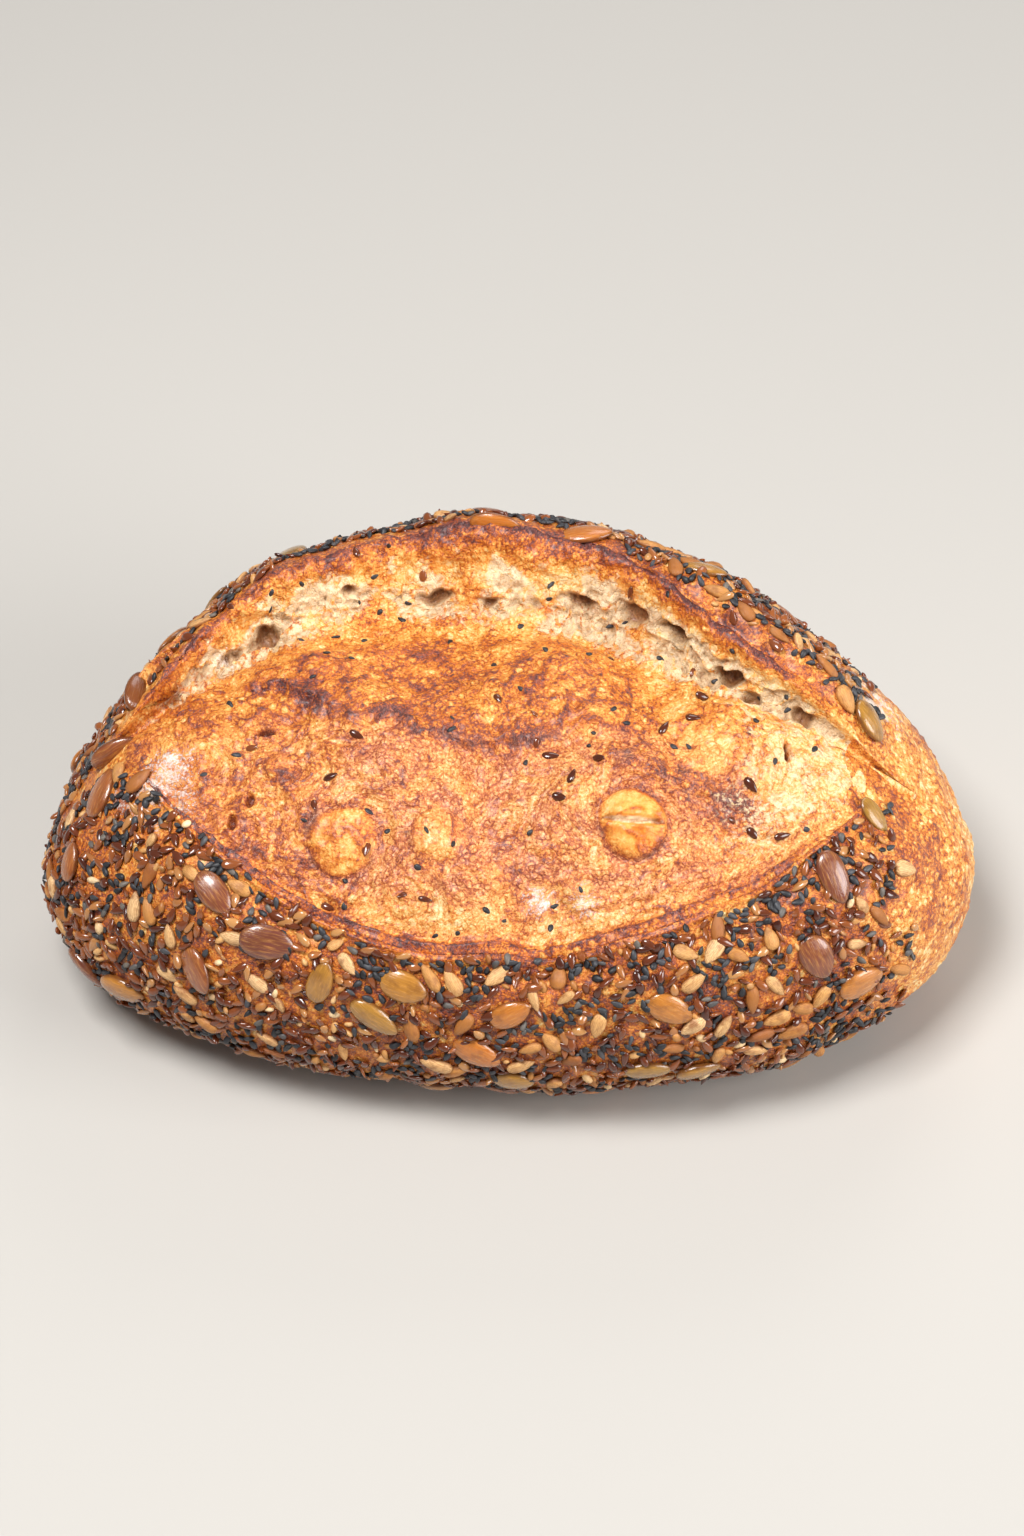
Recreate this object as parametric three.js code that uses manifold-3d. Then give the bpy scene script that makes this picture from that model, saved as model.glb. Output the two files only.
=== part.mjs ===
// A whole seeded sourdough batard: an oval hearth loaf that burst open along one long slash.
// The outer crust is rolled in seeds, the bloom swells out of the slash, and behind the bloom the
// crust stands up as an ear over a torn, open crumb. The loaf is one solid, seeds included.
//
// Millimetres, +Z up. X runs along the loaf and +Y points from the low lip of the slash to the ear.
// The origin is on the table, under the middle of the loaf.
import * as THREE from "three";
import { mergeVertices } from "three/addons/utils/BufferGeometryUtils.js";
import Module from "manifold-3d";

const wasm = await Module();
wasm.setup();

// ---- driving dimensions ----
const LENGTH = 280;
const NEAR_HALF_WIDTH = 80; // from the midline to the side with the low lip
const FAR_HALF_WIDTH = 100; // from the midline to the side behind the ear
const MIDLINE_Y = -10; // puts the middle of the whole width over the origin
const CRUST_HEIGHT = 102; // the crust as it would be with no slash
const WAIST_HEIGHT = 36; // where the loaf is widest
const BASE_PRESS = 7; // how far the round underside is pressed flat by the oven floor
const SLASH_LEFT_X = -114;
const SLASH_RIGHT_X = 116;
const SLASH_WIDEST_X = 2;
const LIP_ANGLE = 150; // round the uncut crust: 0 is the far waist, 90 the top, 180 the near waist
const SLASH_ANGLE = 90;
const EAR_ANGLE = 56;
const SLASH_TURN = 4; // degrees that the slash turns towards the near side at its right end
const SCORE_SHARE = 0.05; // past its ends the slash runs on as a fine score line
// How open the slash is on the side of the low lip and on the side of the ear, 1 at full width,
// at stations evenly spaced along X from the first one.
const FIRST_STATION_X = -145;
const STATION_STEP = 29;
const LIP_OPEN = [0, 0.12, 0.63, 0.85, 0.985, 0.95, 0.885, 0.75, 0.5, 0.06, 0];
const EAR_OPEN = [0, 0.1, 0.72, 0.9, 1.02, 1.0, 0.96, 0.58, 0.27, 0.05, 0];
const EAR_RISE = [1, 1, 1, 1, 1, 1, 0.97, 0.72, 0.56, 0.5, 0.5]; // the ear is lower to the right

// ---- the uncut crust ----
const power = (value, exponent) => Math.sign(value) * Math.abs(value) ** exponent;
const radians = THREE.MathUtils.degToRad;

// 1 in the middle of the loaf and 0 at its tips, full or lean as the two exponents say.
const taper = (along, full, lean) => Math.max(0, 1 - Math.abs(along) ** full) ** (1 / lean);

// The point [y, z] of the uncut crust at station x, at an angle in degrees round the section.
function uncutCrust(x, angle) {
  const along = THREE.MathUtils.clamp(x / (LENGTH / 2), -1, 1);
  const sideways = Math.cos(radians(angle));
  const upwards = Math.sin(radians(angle));
  const halfWidth =
    sideways < 0
      ? NEAR_HALF_WIDTH * taper(along, 2.2, 1.85)
      : FAR_HALF_WIDTH * taper(along, 1.85, 1.85);
  const midline = MIDLINE_Y - 7 * along ** 2 - 6 * along * (1 - along ** 2);
  const y = midline + halfWidth * power(sideways, 2 / (upwards < 0 ? 2.4 : 2.15));
  const rise = (CRUST_HEIGHT - WAIST_HEIGHT) * taper(along, 3.6, 1.45);
  const drop = (WAIST_HEIGHT + BASE_PRESS) * taper(along, 3.2, 2.4);
  const z =
    WAIST_HEIGHT + (upwards < 0 ? drop * power(upwards, 2 / 2.4) : rise * power(upwards, 2 / 2.15));
  return [y, Math.max(z, 0)];
}

// ---- the slash and what burst out of it ----
// The middle section, walked from under the loaf up the near side, over the bloom and the ear and
// down the far side. Each knot is an angle on the uncut crust, and where baking moved that point:
// [y from the midline, z], or nothing where the crust never moved.
const SECTION = [
  [270], [245], [220], [200], [180], [165],
  [154, -74, 61], [LIP_ANGLE, -70, 66], [146, -65, 68], // the low lip and its crease
  [136, -55, 78], [124, -40, 89], [112, -22, 97], [100, -6, 100], // the bloom
  [90, 8, 99], [80, 22, 97], [72, 34, 95], [67, 42, 97], // down to the torn crumb
  [62, 47, 106], [58, 50, 115], [54, 55, 118], // up the inside of the ear, over its rim
  [48, 64, 113], [38, 76, 101], [24, 88, 79], // the far side, lifted by the ear
  [8], [-10], [-30], [-55], [-90],
];
const LIP_KNOT = 7;
const EAR_FOOT_KNOT = 16;
const EAR_RIM_KNOT = 19;

// Runs through the knots: x is the angle, y and z are how far baking moved the point.
const sectionCurve = new THREE.CatmullRomCurve3(
  SECTION.map(([angle, y, z]) => {
    const [crustY, crustZ] = uncutCrust(0, angle);
    return y === undefined
      ? new THREE.Vector3(angle, 0, 0)
      : new THREE.Vector3(angle, MIDLINE_Y + y - crustY, z - crustZ);
  }),
  false,
  "catmullrom",
  0.5,
);

// 1 where the slash is widest and 0 at its ends; stretch moves the ends out.
function slashShare(x, [fullLeft, leanLeft], [fullRight, leanRight], stretch = 1) {
  const left = x < SLASH_WIDEST_X;
  const reach = (left ? SLASH_LEFT_X : SLASH_RIGHT_X) * stretch - SLASH_WIDEST_X;
  const share = Math.min(1, (x - SLASH_WIDEST_X) / reach);
  return Math.max(0, 1 - share ** (left ? fullLeft : fullRight)) ** (left ? leanLeft : leanRight);
}

// A value at x, read along a smooth curve through one value at each station.
function betweenStations(x, values) {
  const stations = values.map((value, i) => new THREE.Vector3(i, value, 0));
  const last = values.length - 1;
  const place = THREE.MathUtils.clamp((x - FIRST_STATION_X) / STATION_STEP, 0, last);
  return new THREE.CatmullRomCurve3(stations, false, "catmullrom", 0.5).getPoint(place / last).y;
}

// The slash at station x, as angles round the crust: its own line, the low lip and the ear.
function slashEdges(x) {
  const line = SLASH_ANGLE + (SLASH_TURN * x) / SLASH_RIGHT_X;
  const nearShare = Math.max(SCORE_SHARE, betweenStations(x, LIP_OPEN));
  const farShare = Math.max(SCORE_SHARE, betweenStations(x, EAR_OPEN));
  const lip = line + (LIP_ANGLE - SLASH_ANGLE) * nearShare;
  const ear = line + (EAR_ANGLE - SLASH_ANGLE) * farShare;
  return { line, nearShare, farShare, lip, ear };
}

// Where a point of the middle section sits round the crust at station x: the points inside the
// slash gather onto its line at both ends, and the crust on each side closes up after them.
function closedAngle(x, angle) {
  const { line, nearShare, farShare, lip, ear } = slashEdges(x);
  if (angle > LIP_ANGLE) return 270 + ((angle - 270) * (270 - lip)) / (270 - LIP_ANGLE);
  if (angle < EAR_ANGLE) return -90 + ((angle + 90) * (ear + 90)) / (EAR_ANGLE + 90);
  return line + (angle - SLASH_ANGLE) * (angle > SLASH_ANGLE ? nearShare : farShare);
}

// ---- relief of the bloom ----
const CREST = { height: 3.2, halfWidth: 6 };
// The dark crests where the skin folded, as [x, y] seen from above.
const CRESTS = [
  [[-79, 1], [-65, -2], [-52, -13], [-39, -14], [-26, -22], [-11, -25], [6, -23], [23, -22]],
  [[23, -31], [37, -34], [51, -39], [65, -42], [74, -44]],
];
// Gas blisters under the skin: [x, y, radius, height].
const BLISTERS = [
  [-49, -51, 11, 2.6],
  [-20, -49, 9, 1.8],
  [35, -48, 10, 4.2],
  [19, -41, 6, 1.2],
  [-30, -63, 8, 1.4],
  [58, -20, 12, 2],
  [-12, 14, 16, 2.4],
  [40, -2, 13, 2.2],
];
// Slow swells of the whole crust: [height, waves per mm along X, across Y, phase].
const SWELLS = [
  [1.3, 0.016, 0.007, 0.4],
  [1.0, -0.011, 0.019, 2.1],
  [0.6, 0.029, 0.017, 4.4],
];

function distanceToPath(x, y, path) {
  let nearest = Infinity;
  for (let i = 1; i < path.length; i++) {
    const [[x0, y0], [x1, y1]] = [path[i - 1], path[i]];
    const along = ((x - x0) * (x1 - x0) + (y - y0) * (y1 - y0)) / ((x1 - x0) ** 2 + (y1 - y0) ** 2);
    const held = THREE.MathUtils.clamp(along, 0, 1);
    nearest = Math.min(nearest, Math.hypot(x - x0 - held * (x1 - x0), y - y0 - held * (y1 - y0)));
  }
  return nearest;
}

// How far the bloom's skin stands out at [x, y] seen from above.
function bloomRelief(x, y) {
  let height = 0;
  for (const path of CRESTS) {
    height += CREST.height * Math.exp(-((distanceToPath(x, y, path) / CREST.halfWidth) ** 2));
  }
  for (const [bx, by, radius, rise] of BLISTERS) {
    height += rise * Math.max(0, 1 - ((x - bx) ** 2 + (y - by) ** 2) / radius ** 2);
  }
  return height;
}

function swell(x, y) {
  let height = 0;
  for (const [rise, wavesX, wavesY, phase] of SWELLS) {
    height += rise * Math.sin(2 * Math.PI * (x * wavesX + y * wavesY) + phase);
  }
  return height;
}

// ---- the baked loaf as a surface ----
// The point at station x and place t along the section's knots.
function loafPoint(x, t) {
  const knot = sectionCurve.getPoint(t / (SECTION.length - 1));
  const [y, z] = uncutCrust(x, closedAngle(x, knot.x));
  const lift = slashShare(x, [2.2, 0.8], [2, 1], 1.07);
  const ear = THREE.MathUtils.smoothstep(t, EAR_FOOT_KNOT - 0.5, EAR_FOOT_KNOT + 0.5) *
    (1 - THREE.MathUtils.smoothstep(t, EAR_RIM_KNOT, EAR_RIM_KNOT + 1));
  const rise = lift * (1 - ear * (1 - betweenStations(x, EAR_RISE)));
  const point = new THREE.Vector3(x, y + knot.y * lift, Math.max(0, z + knot.z * rise));
  const bloom = THREE.MathUtils.smoothstep(t, LIP_KNOT + 0.5, LIP_KNOT + 1.5) *
    (1 - THREE.MathUtils.smoothstep(t, EAR_FOOT_KNOT - 1.5, EAR_FOOT_KNOT));
  const free = THREE.MathUtils.smoothstep(point.z, 0, 25); // the oven floor keeps the base flat
  point.z += bloom * bloomRelief(point.x, point.y) + free * swell(point.x, point.y);
  return point;
}

const STATIONS = 52;
const STEPS_BETWEEN_KNOTS = 2;

// The loaf without its seeds: rings of points at stations along X, closed by a point at each tip.
function loafGeometry() {
  const places = [];
  for (let k = 0; k < SECTION.length - 1; k++) {
    const flat = k === 0 || k >= SECTION.length - 3;
    const steps = flat ? 1 : STEPS_BETWEEN_KNOTS;
    for (let i = 0; i < steps; i++) places.push(k + i / steps);
  }
  const ring = places.length;
  const positions = [];
  for (let i = 1; i < STATIONS; i++) {
    const x = (LENGTH / 2) * Math.sin(Math.PI * (i / STATIONS - 0.5));
    for (const t of places) positions.push(...loafPoint(x, t).toArray());
  }
  const tips = [-1, 1].map((end) => {
    const [y, z] = uncutCrust((end * LENGTH) / 2, 0);
    positions.push((end * LENGTH) / 2, y, z);
    return positions.length / 3 - 1;
  });
  const faces = [];
  const at = (i, j) => i * ring + (j % ring);
  for (let j = 0; j < ring; j++) {
    faces.push(tips[0], at(0, j), at(0, j + 1));
    faces.push(tips[1], at(STATIONS - 2, j + 1), at(STATIONS - 2, j));
    for (let i = 0; i < STATIONS - 2; i++) {
      faces.push(at(i, j), at(i + 1, j), at(i + 1, j + 1));
      faces.push(at(i, j), at(i + 1, j + 1), at(i, j + 1));
    }
  }
  return new THREE.BufferGeometry()
    .setAttribute("position", new THREE.Float32BufferAttribute(positions, 3))
    .setIndex(faces);
}

// ---- seeds ----
const PUMPKIN = { length: 14.5, width: 8.4, thickness: 3.4, sunk: 0.3, sides: 6, rings: 4 };
const SUNFLOWER = { length: 9.6, width: 4.9, thickness: 3, sunk: 0.3, sides: 5, rings: 3 };
// Pumpkin seeds on the near side, as [x, angle round the crust, turn of the long axis from X].
const SHOWN_PUMPKIN = [
  [-88, 138, -65], [-72, 152, -12], [-92, 163, -75], [-57, 168, 80], [-32, 164, -15],
  [-40, 177, -60], [-1, 170, 30], [-11, 187, -25], [47, 166, -25], [92, 155, -80],
  [95, 134, -70], [104, 166, 20], [40, 193, 5], [0, 199, -5], [-113, 178, 10],
];
const PUMPKIN_BY_RULE = 42;
const SUNFLOWER_BY_RULE = 84;
const SEEDED_LEFT_X = -132;
const SEEDED_RIGHT_X = 110; // the right tip of the loaf is bare
const SEEDED_FROM_Z = 7; // the base that lay on the oven floor is bare
const SEED_CLEAR_OF_LIP = 5; // degrees
const SEED_CLEAR_OF_EAR = 9; // degrees
const SHOWN_GAP = 9;
const SCATTER_GAP = 13.5;

// The same draws every time: a plain linear congruential generator.
function draws(seed) {
  let state = seed;
  return () => {
    state = (state * 1664525 + 1013904223) % 4294967296;
    return state / 4294967296;
  };
}

// A seed with pointed ends, lying on the crust at [x, t] with its long axis turned from X.
function seedGeometry(size, x, t, turnDegrees) {
  const step = 0.05;
  const here = loafPoint(x, t);
  const alongX = loafPoint(x + 1, t).sub(loafPoint(x - 1, t)).normalize();
  const round = loafPoint(x, t + step).sub(loafPoint(x, t - step)).normalize();
  const normal = new THREE.Vector3().crossVectors(alongX, round).normalize();
  const across = new THREE.Vector3().crossVectors(normal, alongX);
  const geometry = new THREE.SphereGeometry(0.5, size.sides, size.rings).rotateZ(Math.PI / 2);
  geometry.scale(size.length, size.width, size.thickness).rotateZ(radians(turnDegrees));
  geometry.translate(0, 0, size.thickness * (0.5 - size.sunk));
  geometry.applyMatrix4(new THREE.Matrix4().makeBasis(alongX, across, normal).setPosition(here));
  return geometry;
}

// The place along the knots that sits at an angle round the crust at station x.
function placeAtAngle(x, angle) {
  let [low, high] = angle > SLASH_ANGLE ? [0, LIP_KNOT] : [EAR_RIM_KNOT, SECTION.length - 1];
  for (let i = 0; i < 30; i++) {
    const middle = (low + high) / 2;
    const there = closedAngle(x, sectionCurve.getPoint(middle / (SECTION.length - 1)).x);
    [low, high] = there > angle ? [middle, high] : [low, middle];
  }
  return (low + high) / 2;
}

// The seeds that show come first. The rest are thrown at the crust, and stay where they land
// clear of the slash, the table and every seed before them.
function seedGeometries() {
  const random = draws(20);
  const seeds = [];
  const taken = [];
  const add = (size, x, angle, turn, gap) => {
    const t = placeAtAngle(x, angle);
    const point = loafPoint(x, t);
    if (point.z < SEEDED_FROM_Z) return false;
    if (taken.some((other) => other.distanceTo(point) < gap)) return false;
    taken.push(point);
    seeds.push(seedGeometry(size, x, t, turn));
    return true;
  };
  for (const [x, angle, turn] of SHOWN_PUMPKIN) add(PUMPKIN, x, angle, turn, SHOWN_GAP);
  const scatter = (size, count) => {
    for (let placed = 0, tries = 0; placed < count && tries < 9000; tries++) {
      const x = THREE.MathUtils.lerp(SEEDED_LEFT_X, SEEDED_RIGHT_X, random());
      const angle = THREE.MathUtils.lerp(-40, 230, random());
      const turn = 360 * random();
      const { lip, ear } = slashEdges(x);
      const onCrust = angle > lip + SEED_CLEAR_OF_LIP || angle < ear - SEED_CLEAR_OF_EAR;
      if (onCrust && add(size, x, angle, turn, SCATTER_GAP)) placed++;
    }
  };
  scatter(PUMPKIN, PUMPKIN_BY_RULE);
  scatter(SUNFLOWER, SUNFLOWER_BY_RULE);
  return seeds;
}

// ---- one closed solid ----
function solidOf(geometry) {
  const bare = geometry.clone();
  bare.deleteAttribute("normal");
  bare.deleteAttribute("uv");
  const merged = mergeVertices(bare, 1e-4);
  return new wasm.Manifold(
    new wasm.Mesh({
      numProp: 3,
      vertProperties: merged.attributes.position.array,
      triVerts: new Uint32Array(merged.index.array),
    }),
  );
}

function geometryOf(solid) {
  const { vertProperties, triVerts, numProp } = solid.getMesh();
  const positions = [];
  for (let i = 0; i < vertProperties.length; i += numProp) {
    positions.push(vertProperties[i], vertProperties[i + 1], vertProperties[i + 2]);
  }
  return new THREE.BufferGeometry()
    .setAttribute("position", new THREE.Float32BufferAttribute(positions, 3))
    .setIndex([...triVerts]);
}

const SLIVER = 0.04; // faces finer than this, left where a seed just crosses an edge, are closed up

// The seeds fused to the loaf. Of what the union makes, only the loaf's own outer skin is kept.
function seededLoaf() {
  let fused = solidOf(loafGeometry());
  for (const seed of seedGeometries()) fused = fused.add(solidOf(seed));
  const bodies = fused.simplify(SLIVER).decompose();
  return bodies.reduce((most, body) => (body.volume() > most.volume() ? body : most));
}

const crustMaterial = new THREE.MeshStandardMaterial({ color: 0xb8702c, roughness: 0.55, metalness: 0 });

const loaf = new THREE.Mesh(geometryOf(seededLoaf()), crustMaterial);
loaf.name = "loaf";

const group = new THREE.Group();
group.name = "seeded_sourdough_loaf";
group.add(loaf);

export default group;
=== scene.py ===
import itertools
import math

import bpy
import numpy as np
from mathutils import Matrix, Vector


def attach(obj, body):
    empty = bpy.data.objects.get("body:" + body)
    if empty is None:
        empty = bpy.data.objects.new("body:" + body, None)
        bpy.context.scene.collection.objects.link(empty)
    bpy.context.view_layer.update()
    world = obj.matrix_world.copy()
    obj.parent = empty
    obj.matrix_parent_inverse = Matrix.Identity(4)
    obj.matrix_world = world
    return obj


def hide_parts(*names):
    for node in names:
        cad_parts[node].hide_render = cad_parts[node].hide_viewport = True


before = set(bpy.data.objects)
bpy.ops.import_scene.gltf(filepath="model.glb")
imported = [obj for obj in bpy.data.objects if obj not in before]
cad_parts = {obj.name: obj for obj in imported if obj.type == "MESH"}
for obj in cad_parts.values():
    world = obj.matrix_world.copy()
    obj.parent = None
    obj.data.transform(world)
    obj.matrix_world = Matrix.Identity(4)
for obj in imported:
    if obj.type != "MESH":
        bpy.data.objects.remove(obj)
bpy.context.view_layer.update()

# ---- The camera ----
# It looks down at 48 degrees on the side of the loaf with the low lip, from a little over a metre.
LENS_MM = 85
SENSOR_MM = 36
PICTURE = (1024, 1536)
LOOK_DOWN = math.radians(48)
AIM, DISTANCE = Vector((0.0005, -0.004, 0.066)), 1.083
looking = Vector((0, math.cos(LOOK_DOWN), -math.sin(LOOK_DOWN)))
bpy.ops.object.select_all(action="DESELECT")
bpy.ops.object.camera_add(
    location=AIM - looking * DISTANCE,
    rotation=(math.pi / 2 - LOOK_DOWN, 0, 0),
)
camera = bpy.context.object
camera.name = "camera"
camera.data.lens = LENS_MM
camera.data.sensor_width = SENSOR_MM
bpy.context.scene.camera = camera
bpy.context.view_layer.update()


def ray_through(px, py):
    """The direction from the camera through a point of the picture."""
    focal = LENS_MM / SENSOR_MM * PICTURE[1]
    toward = Vector((px - PICTURE[0] / 2, PICTURE[1] / 2 - py, -focal))
    return (camera.matrix_world.to_3x3() @ toward).normalized()


# ---- The outer crust ----
# Wheat dough with a long sourdough rise, rolled in seeds before the oven and baked hard on its
# floor. One slash lets it burst: the crust stays low on the near side and stands up behind as an
# ear. This piece is the baked skin all round, and inside the slash it dives under the bloom.
LENGTH = 280.0
NEAR_HALF_WIDTH = 80.0
FAR_HALF_WIDTH = 100.0
MIDLINE_Y = -10.0
CRUST_HEIGHT = 102.0
WAIST_HEIGHT = 36.0
BASE_PRESS = 7.0
SLASH_LEFT_X, SLASH_RIGHT_X, SLASH_WIDEST_X = -114.0, 116.0, 2.0
LIP_ANGLE, SLASH_ANGLE, EAR_ANGLE = 150.0, 90.0, 56.0
SLASH_TURN = 4.0
SCORE_SHARE = 0.05
STATION_END, STATION_STEP = 145.0, 29.0
LIP_OPEN = (0, 0.12, 0.63, 0.85, 0.985, 0.95, 0.885, 0.75, 0.5, 0.06, 0)
EAR_OPEN = (0, 0.1, 0.72, 0.9, 1.02, 1.0, 0.96, 0.58, 0.27, 0.05, 0)
EAR_RISE = (1, 1, 1, 1, 1, 1, 0.97, 0.72, 0.56, 0.5, 0.5)
# The middle section from under the loaf up the near side, over bloom and ear, down the far side:
# the angle on the uncut crust, and where baking moved the point, as y from the midline and z.
SECTION = [
    (270,), (245,), (220,), (200,), (180,), (165,),
    (154, -74, 61), (LIP_ANGLE, -70, 66), (146, -65, 68),
    (136, -55, 78), (124, -40, 89), (112, -22, 97), (100, -6, 100),
    (90, 8, 99), (80, 22, 97), (72, 34, 95), (67, 42, 97),
    (62, 47, 106), (58, 50, 115), (54, 55, 118),
    (48, 64, 113), (38, 76, 101), (24, 88, 79),
    (8,), (-10,), (-30,), (-55,), (-90,),
]
# places along the section, counted in its knots
LIP, EAR_FOOT, RIM, LAST = 7.0, 16.0, 19.0, 27.0
# lengthways, each taper is full by its first exponent and lean by its second
NEAR_TAPER, FAR_TAPER, TOP_TAPER, BASE_TAPER = (2.2, 1.85), (1.85, 1.85), (3.6, 1.45), (3.2, 2.4)
UPPER_ROUNDING, LOWER_ROUNDING = 2.15, 2.4
MIDLINE_BEND, MIDLINE_S_BEND = 7, 6
# height, waves per mm along X and along Y, and phase of the swells that a hand-made loaf has
SWELLS = ((1.3, 0.016, 0.007, 0.4), (1.0, -0.011, 0.019, 2.1), (0.6, 0.029, 0.017, 4.4))


def signed_power(value, exponent):
    return np.sign(value) * np.abs(value) ** exponent


def smooth(low, high, value):
    """0 up to low, 1 from high on, and an even slope between."""
    share = np.clip((value - low) / (high - low), 0, 1)
    return share * share * (3 - 2 * share)


def hump(off, reach):
    """1 where off is 0, falling away on both sides within about its reach."""
    return np.exp(-((off / reach) ** 2))


def uncut_crust(x, angle):
    """y and z of the crust as it would be with no slash, at station x and an angle round it."""
    along = np.clip(x / (LENGTH / 2), -1, 1)

    def taper(full, lean):
        return np.clip(1 - np.abs(along) ** full, 0, None) ** (1 / lean)

    sideways, upwards = np.cos(np.radians(angle)), np.sin(np.radians(angle))
    near, far = NEAR_HALF_WIDTH * taper(*NEAR_TAPER), FAR_HALF_WIDTH * taper(*FAR_TAPER)
    midline = MIDLINE_Y - MIDLINE_BEND * along**2 - MIDLINE_S_BEND * along * (1 - along**2)
    power = 2 / np.where(upwards < 0, LOWER_ROUNDING, UPPER_ROUNDING)
    y = midline + np.where(sideways < 0, near, far) * signed_power(sideways, power)
    rise = (CRUST_HEIGHT - WAIST_HEIGHT) * taper(*TOP_TAPER)
    drop = (WAIST_HEIGHT + BASE_PRESS) * taper(*BASE_TAPER)
    z = WAIST_HEIGHT + np.where(upwards < 0, drop, rise) * signed_power(upwards, power)
    return y, np.maximum(z, 0)


def through_knots(values, place):
    """A smooth curve through one value at each knot, read at places along them."""
    padded = np.concatenate([[2 * values[0] - values[1]], values, [2 * values[-1] - values[-2]]])
    knot = np.clip(np.floor(place).astype(int), 0, len(values) - 2)
    w = place - knot
    a, b, c, d = (padded[knot + i] for i in range(4))
    bent, twisted = 2 * a - 5 * b + 4 * c - d, 3 * (b - c) + d - a
    return 0.5 * (2 * b + (c - a) * w + bent * w**2 + twisted * w**3)


knot_angle = np.array([knot[0] for knot in SECTION], float)
knot_y, knot_z = uncut_crust(np.zeros(len(SECTION)), knot_angle)
moved_y = np.array([MIDLINE_Y + k[1] - y if len(k) > 1 else 0 for k, y in zip(SECTION, knot_y)])
moved_z = np.array([k[2] - z if len(k) > 1 else 0 for k, z in zip(SECTION, knot_z)])


def slash_share(x, left_power, right_power, stretch=1.0):
    """1 where the slash is widest and 0 at its ends."""
    left = x < SLASH_WIDEST_X
    reach = np.where(left, SLASH_LEFT_X, SLASH_RIGHT_X) * stretch - SLASH_WIDEST_X
    share = np.clip((x - SLASH_WIDEST_X) / reach, 0, 1)
    full = np.where(left, left_power[0], right_power[0])
    lean = np.where(left, left_power[1], right_power[1])
    return np.clip(1 - share**full, 0, None) ** lean


def between_stations(x, values):
    """A smooth curve through one value at each of the stations evenly spaced along X."""
    return through_knots(np.array(values), (x + STATION_END) / STATION_STEP)


def near_share(x):
    """How open the slash is on the side of the low lip."""
    return np.maximum(SCORE_SHARE, between_stations(x, LIP_OPEN))


def far_share(x):
    """How open it is on the side of the ear."""
    return np.maximum(SCORE_SHARE, between_stations(x, EAR_OPEN))


def closed_angle(x, angle):
    """Where a point of the middle section sits round the crust at station x."""
    line = SLASH_ANGLE + SLASH_TURN * x / SLASH_RIGHT_X
    lip = line + (LIP_ANGLE - SLASH_ANGLE) * near_share(x)
    ear = line + (EAR_ANGLE - SLASH_ANGLE) * far_share(x)
    inside = line + (angle - SLASH_ANGLE) * np.where(angle > SLASH_ANGLE, near_share(x), far_share(x))
    below_lip = 270 + (angle - 270) * (270 - lip) / (270 - LIP_ANGLE)
    behind_ear = -90 + (angle + 90) * (ear + 90) / (EAR_ANGLE + 90)
    return np.where(angle > LIP_ANGLE, below_lip, np.where(angle < EAR_ANGLE, behind_ear, inside))


def draw(cell, salt):
    """A repeatable number from 0 to 1 for each whole-number cell."""
    key = cell[..., 0] * 73856093 ^ cell[..., 1] * 19349663 ^ cell[..., 2] * 83492791 ^ salt * 49979687
    key = (key ^ (key >> 15)) * 739982445 & 0xFFFFFFFF
    key = (key ^ (key >> 12)) * 695872825 & 0xFFFFFFFF
    return (key ^ (key >> 15)) / 0xFFFFFFFF


def noise(points, size, salt=0):
    """Smooth noise of about -1 to 1, with lumps of the given size in millimetres."""
    scaled = points / size
    cell = np.floor(scaled).astype(np.int64)
    part = scaled - cell
    fade = part**3 * (part * (part * 6 - 15) + 10)
    total = np.zeros(len(points))
    for corner in itertools.product((0, 1), repeat=3):
        slope = np.stack([draw(cell + corner, salt * 5 + axis) for axis in range(3)], -1) * 2 - 1
        share = np.prod(np.where(corner, fade, 1 - fade), -1)
        total += ((part - corner) * slope).sum(-1) * share
    return total * 1.7


def rough(points, size, octaves, salt=0):
    """Noise with finer and finer lumps added."""
    return sum(noise(points, size / 2**k, salt + k) / 2**k for k in range(octaves))


def cells(points, size, salt=0):
    """Distance in mm to the nearest of a scatter of centres, and that centre's draw from 0 to 1."""
    scaled = points / size
    base = np.floor(scaled).astype(np.int64)
    nearest, tag = np.full(len(points), np.inf), np.zeros(len(points))
    for step in itertools.product((-1, 0, 1), repeat=3):
        cell = base + step
        centre = cell + np.stack([draw(cell, salt * 5 + axis) for axis in range(3)], -1)
        gap = np.sqrt(((scaled - centre) ** 2).sum(-1))
        closer = gap < nearest
        tag = np.where(closer, draw(cell, salt * 5 + 3), tag)
        nearest = np.where(closer, gap, nearest)
    return nearest * size, tag


def seed_line(x):
    """The place along the section where the seeds begin, a little below the low lip."""
    return LIP - np.interp(x, (-80, -32, 8, 32, 56, 72, 90), (0.05, 0.2, 0.1, 0.15, 0.45, 0.2, 0.3))


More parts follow.
